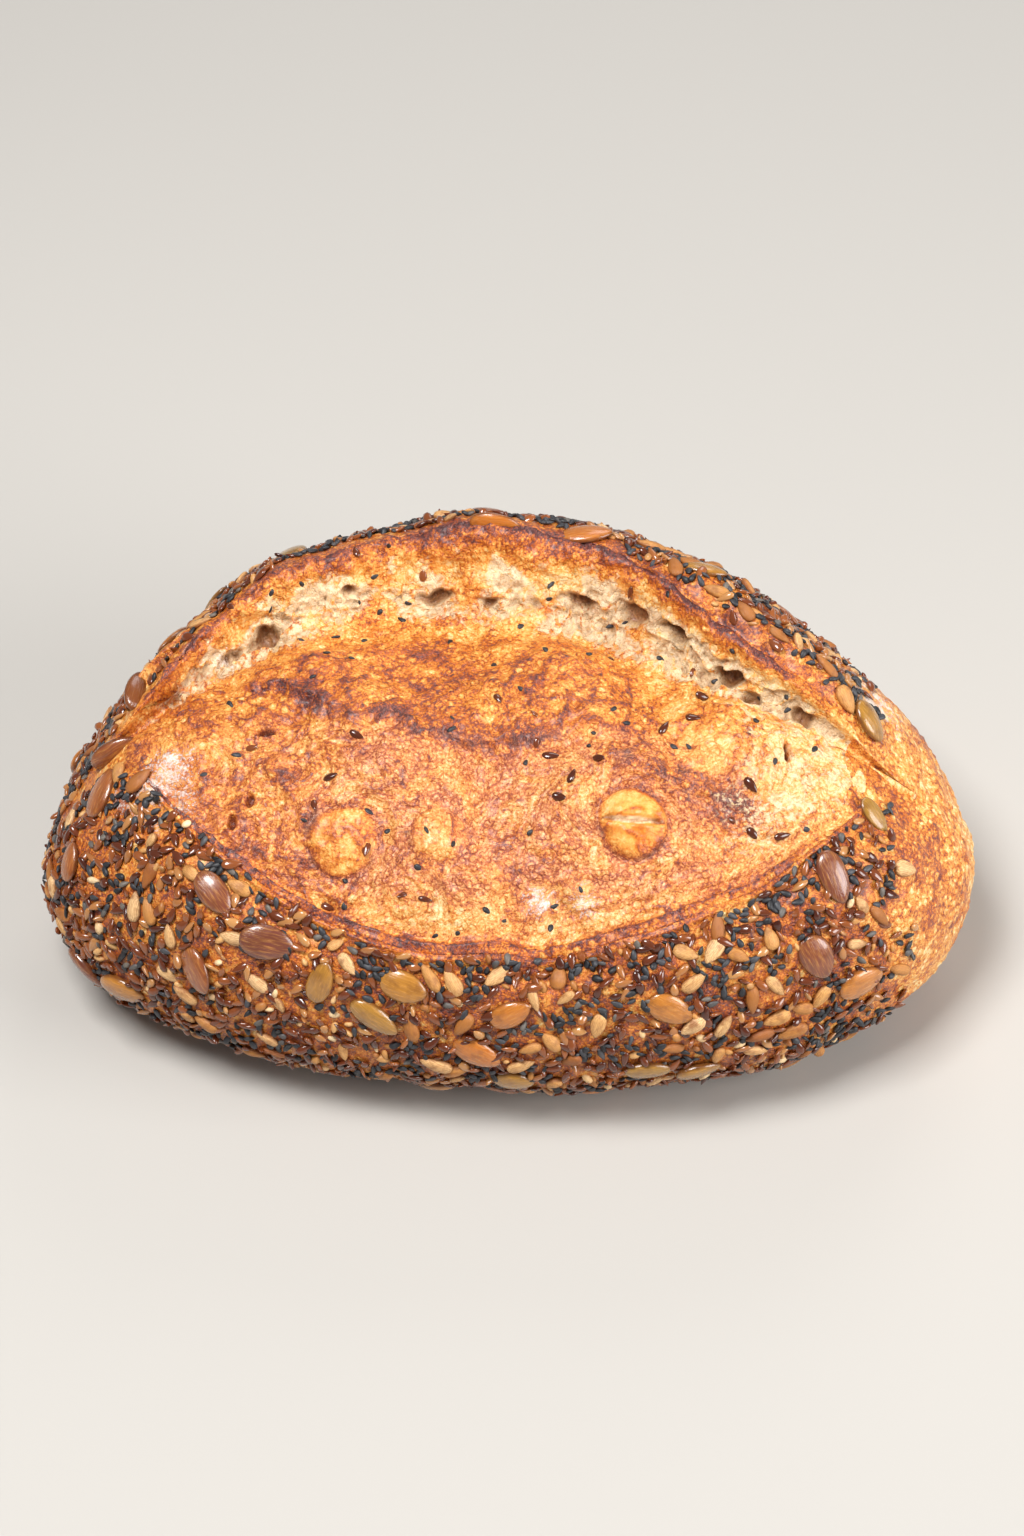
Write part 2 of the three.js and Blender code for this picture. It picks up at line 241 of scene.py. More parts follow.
def form(x, place):
    """Points of the loaf in millimetres, at station x and place along the section's knots."""
    place = np.clip(place, 0, LAST)
    y, z = uncut_crust(x, closed_angle(x, through_knots(knot_angle, place)))
    lift = slash_share(x, (2.2, 0.8), (2, 1), 1.07)
    y = y + through_knots(moved_y, place) * lift
    ear = smooth(EAR_FOOT - 0.5, EAR_FOOT + 0.5, place) * (1 - smooth(RIM, RIM + 1, place))
    rise = lift * (1 - ear * (1 - between_stations(x, EAR_RISE)))
    z = np.maximum(z + through_knots(moved_z, place) * rise, 0)
    swell = 0
    for height, waves_x, waves_y, phase in SWELLS:
        swell = swell + height * np.sin(2 * math.pi * (x * waves_x + y * waves_y) + phase)
    z = z + swell * smooth(0, 25, z)
    # the torn edge of the ear is ragged
    line = np.stack([x, 0 * x, 0 * x], -1)
    ragged = 1.1 * noise(line, 11, 40) + 0.8 * noise(line, 4.5, 41)
    at_rim = smooth(17.2, 18.6, place) * (1 - smooth(19.2, 20.6, place))
    z = z + ragged * at_rim * smooth(0.1, 0.4, far_share(x))
    return np.stack([x, y, z], -1)


def skin(x, place):
    """Points of the loaf and the directions straight out of it."""
    point = form(x, place)
    lengthways = form(x + 0.4, place) - form(x - 0.4, place)
    crossways = form(x, place + 0.03) - form(x, place - 0.03)
    out = np.cross(lengthways, crossways)
    return point, out / np.maximum(np.linalg.norm(out, axis=-1, keepdims=True), 1e-9)


MM = 0.001


def set_points(piece, points_mm):
    piece.data.vertices.foreach_set("co", (points_mm * MM).astype(np.float32).ravel())
    piece.data.update()


def read(items, name, width=3):
    """What each vertex or face has under a name, as rows of that width."""
    flat = np.empty(len(items) * width, np.float32)
    items.foreach_get(name, flat)
    return flat.reshape(-1, width).astype(float)


def get_points(mesh):
    return read(mesh.vertices, "co")


def fixed_faces(mesh):
    """The faces of a mesh in one fixed order, because a new sphere comes with them in a chance one."""
    faces = []
    for face in mesh.polygons:
        corners = list(face.vertices)
        first = corners.index(min(corners))
        faces.append(tuple(corners[first:] + corners[:first]))
    return sorted(faces)


def keep_mask(piece, name, values):
    """Stores one number a point, for the material to read."""
    piece.data.attributes.new(name, "FLOAT", "POINT").data.foreach_set("value", values.astype(np.float32))


def keep_vectors(piece, name, rows):
    """Stores three numbers a point, for the material to read."""
    layer = piece.data.attributes.new(name, "FLOAT_VECTOR", "POINT")
    layer.data.foreach_set("vector", rows.astype(np.float32).ravel())


def mode(name):
    bpy.ops.object.mode_set(mode=name)


def smooth_and_outward():
    """Turns all faces of the active piece outward and shades them smooth."""
    mode("EDIT")
    bpy.ops.mesh.select_all(action="SELECT")
    bpy.ops.mesh.normals_make_consistent(inside=False)
    mode("OBJECT")
    bpy.ops.object.shade_smooth()


CRUST_ROUND, CRUST_STATIONS = 300, 330
TIP = 0.45  # this close to its ends the crust is taken as flat, to find the way out of it
BARE_FROM, BARE_TO = 86, 120  # along X, where the seeds thin out and the bare end begins
BLISTER_SPACING, BLISTER_RADIUS = 2.6, 1.2
bpy.ops.object.select_all(action="DESELECT")
bpy.ops.mesh.primitive_uv_sphere_add(segments=CRUST_ROUND, ring_count=CRUST_STATIONS, radius=1)
crust = bpy.context.object
crust.name = "crust"
ball = get_points(crust.data)
crust_faces = fixed_faces(crust.data)
crust.data.clear_geometry()
crust.data.from_pydata(ball.tolist(), [], crust_faces)
swing = np.arcsin(np.clip(ball[:, 2], -1, 1))
crust_x = LENGTH / 2 * np.sin(swing - 0.2 * np.sin(2 * swing))
turn = np.arctan2(ball[:, 1], ball[:, 0]) / (2 * math.pi) % 1
# few points under the loaf and under the bloom, and the rest where the crust shows
crust_place = np.interp(turn * CRUST_ROUND, (0, 14, 114, 150, 290, 300), (0, 1.5, LIP, RIM, 26, LAST))
base, out = skin(np.clip(crust_x, -LENGTH / 2 + TIP, LENGTH / 2 - TIP), crust_place)
base[:, 0] = crust_x
at_tip = np.abs(crust_x) > LENGTH / 2 - TIP
tip_y, tip_z = uncut_crust(crust_x, np.zeros(len(crust_x)))
base[at_tip, 1], base[at_tip, 2] = tip_y[at_tip], tip_z[at_tip]
out[at_tip] = np.stack([np.sign(crust_x), 0 * crust_x, 0 * crust_x], -1)[at_tip]
under_bloom = smooth(0, 0.5, crust_place - LIP) * smooth(0, 0.5, RIM - crust_place)
under_bloom *= smooth(0.15, 0.35, np.minimum(near_share(crust_x), far_share(crust_x)))
bare_end = smooth(BARE_FROM, BARE_TO, crust_x + 0.12 * base[:, 1] + 8 * noise(base, 18, 3))
blister_gap, blister_tag = cells(base, BLISTER_SPACING, 5)
blisters = np.clip(1 - (blister_gap / (BLISTER_RADIUS + 0.35 * bare_end)) ** 2, 0, 1)
blisters *= blister_tag > 0.45 - 0.2 * bare_end
relief = 0.55 * rough(base, 9, 3, 7) + (0.22 + 0.25 * bare_end) * blisters
relief += 0.9 * hump(crust_place - 6.8, 0.2) * smooth(0.1, 0.5, near_share(crust_x))
lip_band = smooth(-0.5, 0.1, crust_place - seed_line(crust_x)) * smooth(LIP + 0.5, LIP, crust_place)
lip_band *= smooth(0.1, 0.4, near_share(crust_x))
relief += 0.45 * lip_band * noise(np.stack([crust_x * 0.12, crust_place * 9, 0 * crust_x], -1), 1.6, 94)
dive = 9 + 6 * hump(crust_place - EAR_FOOT, 1.2)
crust_points = base + out * (relief - dive * under_bloom)[:, None]
crust_points[:, 2] = np.where(base[:, 2] <= 0.01, 0, np.maximum(crust_points[:, 2], 0))
set_points(crust, crust_points)

smooth_and_outward()

lip_edge = hump(crust_place - LIP, 0.35) * smooth(0.2, 0.6, near_share(crust_x))
lip_edge += 1.3 * hump(crust_place - RIM, 0.55) * smooth(0.15, 0.5, far_share(crust_x))
near_side = smooth(0.3, -0.7, crust_place - seed_line(crust_x))
bake = 0.4 + 0.07 * near_side + 0.13 * rough(base, 26, 3, 11) + 0.13 * lip_edge * (1 - bare_end)
# the bare end bakes paler, but less so towards its top: there the darkening is painted shade that tempers
# the strong light from the right
bake -= bare_end * (0.15 - 0.11 * smooth(35, 80, base[:, 2]))
bake += 0.16 * smooth(20, 0, crust_points[:, 2])


def spot(x, place):
    """One point of the form, in millimetres."""
    return form(np.array([float(x)]), np.array([float(place)]))[0]


def flour_at(points, spots):
    """Dusted flour round each spot: x, place, reach in mm and how much of it."""
    total = np.zeros(len(points))
    for x, place, reach, much in spots:
        gap = np.linalg.norm(points - spot(x, place), axis=1)
        total = np.maximum(total, much * hump(gap, reach))
    return total


CRUST_FLOUR = ((-104, 6.4, 10, 0.8), (-112, 6, 9, 0.5), (108, 20.8, 11, 1.0), (-118, 22, 12, 0.4))
flour = flour_at(base, CRUST_FLOUR) + 0.4 * smooth(4, 0, crust_points[:, 2])
keep_mask(crust, "bake", bake)
keep_mask(crust, "flour", flour * (0.8 + 0.8 * rough(base, 5, 3, 15)))
keep_mask(crust, "blisters", 0.3 + 0.7 * bare_end)


def colour(hex_code):
    """A screen colour as the linear one that a shader takes."""
    parts = [int(hex_code[i : i + 2], 16) / 255 for i in (1, 3, 5)]
    return (*[c / 12.92 if c < 0.04045 else ((c + 0.055) / 1.055) ** 2.4 for c in parts], 1)


class Nodes:
    """Builds one material or node group by short calls."""

    def __init__(self, tree):
        self.tree = tree

    def fill(self, sockets, values):
        """Links what comes from a node, and sets what is a plain value on the socket itself."""
        for key, value in values.items():
            if isinstance(value, bpy.types.NodeSocket):
                self.tree.links.new(value, sockets[key])
            else:
                sockets[key].default_value = value

    def add(self, kind, inputs=None, **settings):
        node = self.tree.nodes.new(kind)
        for key, value in settings.items():
            setattr(node, key, value)
        self.fill(node.inputs, inputs or {})
        return node

    def place(self):
        return self.add("ShaderNodeTexCoord").outputs["Object"]

    def mask(self, name):
        return self.add("ShaderNodeAttribute", attribute_name=name).outputs["Fac"]

    def vector(self, name):
        return self.add("ShaderNodeAttribute", attribute_name=name).outputs["Vector"]

    def math(self, operation, a, b=0.0):
        return self.add("ShaderNodeMath", {0: a, 1: b}, operation=operation).outputs[0]

    def plus(self, a, b):
        return self.math("ADD", a, b)

    def minus(self, a, b):
        return self.math("SUBTRACT", a, b)

    def times(self, a, b):
        return self.math("MULTIPLY", a, b)

    def between(self, value, low, high, to_low=0.0, to_high=1.0):
        inputs = {"Value": value, "From Min": low, "From Max": high, "To Min": to_low, "To Max": to_high}
        return self.add("ShaderNodeMapRange", inputs).outputs["Result"]

    def noise(self, size_mm, detail=4.0, roughness=0.6, distortion=0.0, at=None):
        inputs = {"Vector": at or self.place(), "Scale": 1000 / size_mm, "Detail": detail,
                  "Roughness": roughness, "Distortion": distortion}
        return self.add("ShaderNodeTexNoise", inputs).outputs["Fac"]

    def cells(self, at, size_mm, feature="F1"):
        inputs = {"Vector": at, "Scale": 1000 / size_mm}
        return self.add("ShaderNodeTexVoronoi", inputs, feature=feature).outputs

    def ramp(self, value, stops):
        node = self.add("ShaderNodeValToRGB", {"Fac": value})
        elements = node.color_ramp.elements
        while len(elements) > 1:
            elements.remove(elements[-1])
        elements[0].position, elements[0].color = stops[0][0], colour(stops[0][1])
        for position, hex_code in stops[1:]:
            elements.new(position).color = colour(hex_code)
        return node.outputs["Color"]

    def mix(self, share, first, second, blend="MIX"):
        second = colour(second) if isinstance(second, str) else second
        inputs = {0: share, 6: first, 7: second}
        return self.add("ShaderNodeMix", inputs, data_type="RGBA", blend_type=blend).outputs[2]

    def bump(self, height, reach_mm, strength=1.0):
        inputs = {"Height": height, "Distance": reach_mm / 1000, "Strength": strength}
        return self.add("ShaderNodeBump", inputs).outputs["Normal"]


def new_paint(name):
    """A new material with its nodes and its shader."""
    paint = bpy.data.materials.new(name)
    paint.use_nodes = True
    return paint, Nodes(paint.node_tree), paint.node_tree.nodes["Principled BSDF"]


# Baked dough, for crust and bloom alike: bake runs from pale straw to burnt purple-brown, the veil
# is the rosy net that a wet skin dries to, and the grain says which way the fibres were drawn.
DOUGH_STARTS = {"Bake": 0.5, "Veil": 0.0, "Crumb": 0.0, "Flour": 0.0, "Calm": 0.0, "Painted_Shade": 0.0}
baked = Nodes(bpy.data.node_groups.new("baked_dough", "ShaderNodeTree"))
sockets = baked.tree.interface
for name, start in DOUGH_STARTS.items():
    sockets.new_socket(name, in_out="INPUT", socket_type="NodeSocketFloat").default_value = start
sockets.new_socket("Grain", in_out="INPUT", socket_type="NodeSocketVector")
for name, kind in (("Color", "Color"), ("Height", "Float"), ("Roughness", "Float")):
    sockets.new_socket(name, in_out="OUTPUT", socket_type="NodeSocket" + kind)
given = baked.add("NodeGroupInput").outputs


def wandering(nodes, vector, size_mm, reach_mm):
    """The vector pushed about by noise, so that what is read there wanders."""

    def vectors(operation, inputs):
        return nodes.add("ShaderNodeVectorMath", inputs, operation=operation).outputs[0]

    inputs = {"Vector": vector, "Scale": 1000 / size_mm, "Detail": 2.0}
    push = nodes.add("ShaderNodeTexNoise", inputs).outputs["Color"]
    centred = vectors("SUBTRACT", {0: push, 1: (0.5, 0.5, 0.5)})
    scaled = vectors("SCALE", {0: centred, "Scale": reach_mm / 1000})
    return vectors("ADD", {0: vector, 1: scaled})


def thread_lines(nodes, value, width):
    """1 along the middle level of a noise, which draws branching lines."""
    off = nodes.math("ABSOLUTE", nodes.minus(value, 0.5))
    return nodes.between(off, width, 0.0)


def added(total, *parts):
    """The total with shares of other values added, each given as (value, share)."""
    for value, share in parts:
        total = baked.plus(total, baked.times(value, share))
    return total


drawn = wandering(baked, given["Grain"], 8, 7)
big = baked.noise(8, 4, 0.6, at=drawn)
strand = baked.noise(2.7, 3, 0.62, at=drawn)
patches = baked.noise(5, 3, 0.6, at=drawn)
speckle = baked.noise(0.8, 4, 0.75)
fleck = baked.noise(1.9, 3, 0.65, distortion=0.4)
strand_line = thread_lines(baked, strand, 0.05)
crackle = baked.cells(wandering(baked, baked.place(), 2.4, 1.6), 1.9, "DISTANCE_TO_EDGE")["Distance"]
crackle_line = baked.times(baked.between(crackle, 0.17, 0.02), baked.between(patches, 0.4, 0.58))
bubbles = baked.cells(wandering(baked, baked.place(), 3, 1.2), 3.4)
bubble_draw = baked.add("ShaderNodeSeparateColor", {0: bubbles["Color"]}).outputs[0]
chosen = baked.between(bubble_draw, 0.5, 0.55)
from_middle = bubbles["Distance"]
bubble = baked.times(baked.between(from_middle, 0.42, 0.2), chosen)
bubble_edge = baked.times(baked.between(from_middle, 0.6, 0.47), baked.between(from_middle, 0.33, 0.43))
bubble_edge = baked.times(bubble_edge, chosen)
busy = baked.minus(1.0, given["Calm"])
more_when_dark = baked.between(given["Bake"], 0.45, 0.8, 1.0, 1.7)
change = baked.times(baked.between(speckle, 0.3, 0.7, -0.27, 0.27), more_when_dark)
change = baked.plus(change, baked.between(fleck, 0.35, 0.65, -0.09, 0.09))
change = added(change, (strand_line, 0.09), (crackle_line, 0.13), (bubble_edge, 0.13))
change = baked.minus(change, baked.times(bubble, 0.17))
bake_here = baked.plus(given["Bake"], baked.between(big, 0.3, 0.7, -0.21, 0.21))
bake_here = added(bake_here, (change, busy))
dough_colour = baked.ramp(bake_here, (
    (0.0, "#fadaa0"), (0.15, "#f4bd6a"), (0.3, "#ea9d42"), (0.45, "#d67722"), (0.58, "#b4561a"),
    (0.7, "#91442b"), (0.82, "#7a3f37"), (1.0, "#502b2a"),
))
rosy = added(speckle, (crackle_line, 0.2), (strand_line, 0.07), (bubble_edge, 0.12))
VEIL_TONES = ((0.3, "#fcd3a2"), (0.46, "#eda56e"), (0.58, "#c87043"), (0.75, "#984730"))
veil_share = baked.times(given["Veil"], baked.between(big, 0.35, 0.62, 0.35, 1.0))
dough_colour = baked.mix(veil_share, dough_colour, baked.ramp(rosy, VEIL_TONES))
CRUMB_TONES = ((0.28, "#b28b67"), (0.43, "#dcba8f"), (0.56, "#f4dab2"), (0.75, "#f6c981"))
crumb_tone = baked.plus(fleck, baked.between(speckle, 0.3, 0.7, -0.14, 0.14))
torn = added(given["Crumb"], (baked.between(fleck, 0.3, 0.7, -0.5, 0.5), busy))
torn = baked.times(baked.between(torn, 0.3, 0.75), baked.between(given["Crumb"], 0.0, 0.15))
dough_colour = baked.mix(torn, dough_colour, baked.ramp(crumb_tone, CRUMB_TONES))
# painted shade: the shade mask multiplies the colour darker and greyer, as if the place lay in a shaded
# recess
dough_colour = baked.mix(given["Painted_Shade"], dough_colour, "#a17d60", "MULTIPLY")
dusting = baked.plus(given["Flour"], baked.between(speckle, 0.25, 0.75, -0.6, 0.6))
dusting = baked.plus(dusting, baked.between(strand, 0.3, 0.7, -0.25, 0.25))
dust = baked.times(baked.between(dusting, 0.4, 0.8), baked.between(given["Flour"], 0.02, 0.2))
dough_colour = baked.mix(baked.times(dust, 0.85), dough_colour, "#f0e2d8")
height = added(baked.times(speckle, 0.5), (bubble, 0.35), (strand_line, 0.2))
height = baked.minus(height, baked.times(crackle_line, 0.3))
baked.add("NodeGroupOutput", {
    "Color": dough_colour,
    "Height": baked.times(height, busy),
    "Roughness": baked.between(bake_here, 0.1, 0.7, 0.55, 0.32),
})


def baked_material(name, masks, coat):
    """Dough with its own bake and masks, its fine relief and its shine."""
    paint, nodes, shader = new_paint(name)
    dough = nodes.add("ShaderNodeGroup", node_tree=baked.tree)
    nodes.fill(dough.inputs, masks(nodes))
    nodes.fill(shader.inputs, {
        "Base Color": dough.outputs["Color"],
        "Roughness": dough.outputs["Roughness"],
        "Normal": nodes.bump(dough.outputs["Height"], 0.7),
        "Specular IOR Level": 0.5,
        "Coat Weight": coat,
        "Coat Roughness": 0.3,
    })
    return paint


def crust_masks(nodes):
    """The crust is paler on its small blisters, which show most at the bare end."""
    dots = nodes.cells(wandering(nodes, nodes.place(), 2.5, 1.2), 2.3)["Distance"]
    paler = nodes.times(nodes.mask("blisters"), nodes.between(dots, 0.5, 0.2, 0.03, -0.24))
    bake = nodes.plus(nodes.mask("bake"), paler)
    return {"Bake": bake, "Flour": nodes.mask("flour"), "Grain": nodes.place()}


crust.data.materials.append(baked_material("seeded_crust", crust_masks, 0.3))
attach(crust, "root")
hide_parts("loaf")

# ---- The bloom ----
# The dough that swelled out of the slash: a skin with folded, scorched crests and gas blisters,
# and between it and the ear the torn crumb, which is pale and open.
CREST_PATHS = (
    ((-79, 13.1), (-65, 12.7), (-52, 11.9), (-39, 11.85), (-26, 11.45), (-11, 11.35), (6, 11.6), (24, 11.7)),
    ((22, 11.2), (37, 10.95), (51, 10.6), (62, 10.3), (70, 10.05)),
)
BROWN_FAR_EDGE = (
    (-90, 12.9), (-79, 13.4), (-65, 13.9), (-48, 14.2), (-27, 14.5), (0, 14.4), (20, 14.45), (36, 14.2),
    (50, 13.2),
)
# x, place, radius and height of the larger gas blisters
BLISTERS = (
    (-48, 9.47, 10.5, 2.6), (-20, 9.84, 8.5, 1.3), (35, 9.95, 10.2, 4.2), (19, 10.5, 6, 1.0),
    (-30, 8.8, 6.5, 0.8), (19, 8.95, 6.5, 0.8), (58, 11.6, 11, 1.3), (-66, 10.6, 5, 0.9),
    (-90, 10.9, 7, 0.8), (48, 12.6, 8, 0.8), (-4, 9.2, 5, 0.8), (70, 10.6, 6, 0.7),
    (-56, 13.2, 6, 0.8), (5, 13, 5, 0.7), (62, 13.4, 6, 0.9),
)
SPLIT_AT = (35, 9.98)  # x and place of the split across the round blister
# x, place, half length along X, half width and depth of holes torn in the skin
HOLES = (
    (-71, 11.4, 3.0, 1.3, 2.6), (-75, 9.7, 1.4, 2.4, 2.6), (-80, 8.95, 1.3, 2.4, 2.4),
    (80, 11.5, 1.2, 3.6, 3.4),
)
# the same for the caves of the torn crumb
CAVES = (
    (21, 16.6, 8, 3.0, 2.6), (36, 16.5, 8, 3.6, 4.2), (48, 16.6, 5.5, 3.2, 5.5),
    (64, 16.1, 5.5, 3.0, 5.0), (71, 15.3, 3.5, 2.2, 4.5), (86, 15.3, 5.5, 2.8, 6.0),
    (98, 13.2, 3, 1.5, 2.0), (103, 12.0, 2.2, 1.2, 1.6), (-74, 15.9, 7, 3.0, 4.0),
    (-84, 16.3, 5, 2.6, 3.0), (-48, 17.0, 4.5, 1.8, 3.0), (-23, 16.3, 7, 2.6, 2.6),
    (-8, 16.1, 6, 2.4, 2.0), (8, 16.2, 5, 2.4, 2.4),
)
BLOOM_ALONG, BLOOM_ACROSS = 370, 250
BLOOM_ENDS, BLOOM_EDGES = (-117.0, 119.0), (6.7, 19.35)  # along X, and in places
WALK_STEPS = 400
bpy.ops.object.select_all(action="DESELECT")
bpy.ops.mesh.primitive_grid_add(x_subdivisions=BLOOM_ALONG - 1, y_subdivisions=BLOOM_ACROSS - 1, size=2)
bloom = bpy.context.object
bloom.name = "bloom"
sheet = get_points(bloom.data)
bloom_x = np.interp(sheet[:, 0], (-1, 1), BLOOM_ENDS)
# the rows of the sheet are evenly spaced in mm over the middle section
steps = np.linspace(*BLOOM_EDGES, WALK_STEPS)
walk = form(np.zeros(WALK_STEPS), steps)
walked = np.concatenate([[0], np.cumsum(np.linalg.norm(np.diff(walk, axis=0), axis=1))])
bloom_place = np.interp((sheet[:, 1] + 1) / 2 * walked[-1], walked, steps)
base, out = skin(bloom_x, bloom_place)
widest = np.minimum(near_share(bloom_x), far_share(bloom_x))
open_here = smooth(0.12, 0.4, widest)


def along_x(stations, values):
    """What has these values at these stations, for every point of the sheet."""
    return np.interp(bloom_x, stations, values)


def gap_to_path(points, path):
    """Distance in mm to a path of (x, place), and how far along it the nearest point lies, 0 to 1."""
    nearest, along = np.full(len(points), np.inf), np.zeros(len(points))
    ends = [spot(*knot) for knot in path]
    for i, (a, b) in enumerate(zip(ends, ends[1:])):
        w = np.clip(((points - a) @ (b - a)) / ((b - a) @ (b - a)), 0, 1)
        gap = np.linalg.norm(points - a - w[:, None] * (b - a), axis=1)
        along = np.where(gap < nearest, (i + w) / (len(ends) - 1), along)
        nearest = np.minimum(nearest, gap)
    return nearest, along


warped = base + np.stack([noise(base, 13, 50 + i) for i in range(3)], -1) * 3.0
warped += np.stack([noise(base, 4.5, 54 + i) for i in range(3)], -1) * 1.1

# which way the skin was drawn: round the blisters, along the crests and along the low lip
grain = warped.copy()
relief = 0.8 * rough(base, 24, 2, 60) + 0.75 * rough(base, 9, 3, 63)
crest = np.zeros(len(base))
for path, thick in zip(CREST_PATHS, (1.0, 1.5)):
    gap, along = gap_to_path(warped, path)
    ends = smooth(0, 0.1, along) * smooth(1, 0.86, along)
    width = thick * (1.5 + 1.2 * ends + 0.9 * noise(base, 10, 61))
    crest = np.maximum(crest, hump(gap, width) * (0.3 + 0.7 * ends))
    grain[:, 0] += 4 * hump(gap, 5)
relief += crest * (1.5 + 1.2 * noise(warped, 4, 62))

# the browned mass between the first crest and the torn crumb stands a little above the rest
crest_line, far_line = along_x(*zip(*CREST_PATHS[0])), along_x(*zip(*BROWN_FAR_EDGE))
MM_TO_A_PLACE = 14
shift = (warped[:, 1] - base[:, 1]) / MM_TO_A_PLACE
warped_place = bloom_place + shift
mass = smooth(-0.08, 0.2, warped_place - crest_line) * smooth(0.35, -0.2, warped_place - far_line)
mass *= smooth(-86, -74, warped[:, 0]) * smooth(50, 24, warped[:, 0])
relief += 1.6 * mass

ring, blister_top = np.zeros(len(base)), np.zeros(len(base))
for i, (x, place, radius, rise) in enumerate(BLISTERS):
    off = base + 0.3 * (warped - base) - spot(x, place)
    angle = np.arctan2(off[:, 1], off[:, 0])
    uneven = 1 + 0.05 * np.sin(2 * angle + 2.1 * i) + 0.035 * np.sin(3 * angle + 3.7 * i)
    gap = np.linalg.norm(off, axis=1) / radius / uneven
    dome = np.clip(1 - gap**2, 0, 1)
    relief += rise * dome**0.7 - 0.28 * rise * hump(gap - 1.05, 0.12)
    relief += 0.1 * rise * np.cos((gap - 1) * 11) * smooth(1.0, 1.1, gap) * smooth(1.9, 1.4, gap)
    ring = np.maximum(ring, hump(gap - 1.03, 0.1) * min(1, rise / 2.6))
    blister_top = np.maximum(blister_top, smooth(0, 0.3, dome) * min(1, 0.1 + rise / 3))
    twist = (0.9 if i % 2 else -0.9) * smooth(2.3, 0.6, gap) * min(1, 0.5 + rise / 3)
    grain[:, 0] += off[:, 0] * (np.cos(twist) - 1) - off[:, 1] * np.sin(twist)
    grain[:, 1] += off[:, 0] * np.sin(twist) + off[:, 1] * (np.cos(twist) - 1)

# thin wrinkles, here and there, where the drying skin was drawn together
wrinkle = hump(noise(warped, 15, 112), 0.06) * smooth(-0.15, 0.1, noise(base, 22, 113))
finer = hump(noise(warped, 8, 114), 0.09) * smooth(-0.05, 0.15, noise(base, 17, 115))
wrinkle = np.maximum(wrinkle, finer) * smooth(14.5, 13.5, bloom_place)
relief += 0.55 * wrinkle

small_gap, small_tag = cells(base, 6.0, 70)
small = np.clip(1 - (small_gap / (1.2 + 1.6 * small_tag)) ** 2, 0, 1)
relief += 0.45 * small * smooth(12.8, 11.5, bloom_place)
relief += 0.3 * (1 - 3 * np.abs(noise(grain, 5, 72))) + 0.3 * noise(base, 2.4, 73)

# the split across the round blister
split_gap = base - spot(*SPLIT_AT)
split = np.clip(1 - (split_gap[:, 0] / 9.2) ** 2, 0, 1) ** 0.5
split_off = split_gap[:, 1] + 0.04 * split_gap[:, 0] + 0.25 * noise(base, 3, 79)
split *= np.exp(-((split_off / (0.9 * split + 0.05)) ** 4))
relief -= 1.8 * split
split_bubble = np.clip(1 - (np.linalg.norm(split_gap, axis=1) / 10.4) ** 4, 0, 1)

holes = np.zeros(len(base))
for x, place, half_length, half_width, depth in HOLES:
    off = base - spot(x, place)
    gap = np.sqrt((off[:, 0] / half_length) ** 2 + (np.hypot(off[:, 1], off[:, 2]) / half_width) ** 2)
    hole = smooth(1.15, 0.55, gap)
    relief -= depth * hole
    relief += 0.5 * hump(gap - 1.35, 0.3)
    holes = np.maximum(holes, hole)

# the torn crumb: caves and struts, widest to the right of the middle
BAND_STATIONS = (-100, -60, -20, 10, 40, 70, 100, 112)
band_low = along_x(BAND_STATIONS, (14.7, 15.0, 15.4, 15.1, 14.8, 14.5, 14.4, 14.5))
band_high = along_x(BAND_STATIONS, (16.7, 16.9, 16.6, 16.8, 17.1, 17.1, 16.9, 16.6))
open_crumb = smooth(-0.5, 0.5, warped_place - band_low) * smooth(0.4, -0.4, warped_place - band_high)
open_crumb *= along_x((-112, -90, -60, -30, 0, 30, 100, 112), (0.0, 0.9, 0.9, 0.8, 0.9, 1.0, 1.0, 0.2))
more_open = along_x((-90, -65, -40, 10, 40, 70, 90), (0.3, 0.3, 0, 0, 0.35, 0.2, 0))
open_crumb *= smooth(-0.45, 0.1, noise(base, 16, 77) + more_open)
cave = np.zeros(len(base))
for x, place, half_length, half_width, depth in CAVES:
    lengthwise = spot(x + 2, place) - spot(x - 2, place)
    lengthwise /= np.linalg.norm(lengthwise)
    off = base + 0.8 * (warped - base) - spot(x, place)
    along = off @ lengthwise
    across = np.linalg.norm(off - along[:, None] * lengthwise, axis=1)
    gap = np.sqrt((along / half_length) ** 2 + (across / half_width) ** 2) + 0.2 * noise(base, 4, 78)
    hollow = smooth(1.05, 0.45, gap)
    cave = np.maximum(cave, hollow)
    relief -= depth * hollow
    relief += 0.6 * hump(gap - 1.2, 0.2)
pit_gap, pit_tag = cells(warped, 3.4, 84)
pits = np.clip(1 - (pit_gap / 1.5) ** 2, 0, 1) * (pit_tag > 0.3)
struts = np.abs(noise(warped * (1, 0.7, 0.7), 4.2, 86))
relief -= open_crumb * (1.2 * pits + 1.5 * smooth(0.02, 0.3, struts) - 0.8 + 0.5 * rough(base, 4.5, 2, 88))

# the inside of the ear: drawn strands, browner towards its rim, with stray pits
wall = smooth(16.2, 17.0, bloom_place) * open_here
strands = rough(base * (1, 0.7, 0.7), 5, 3, 90)
relief += wall * (0.9 * strands - 0.9 * pits * (pit_tag > 0.8))
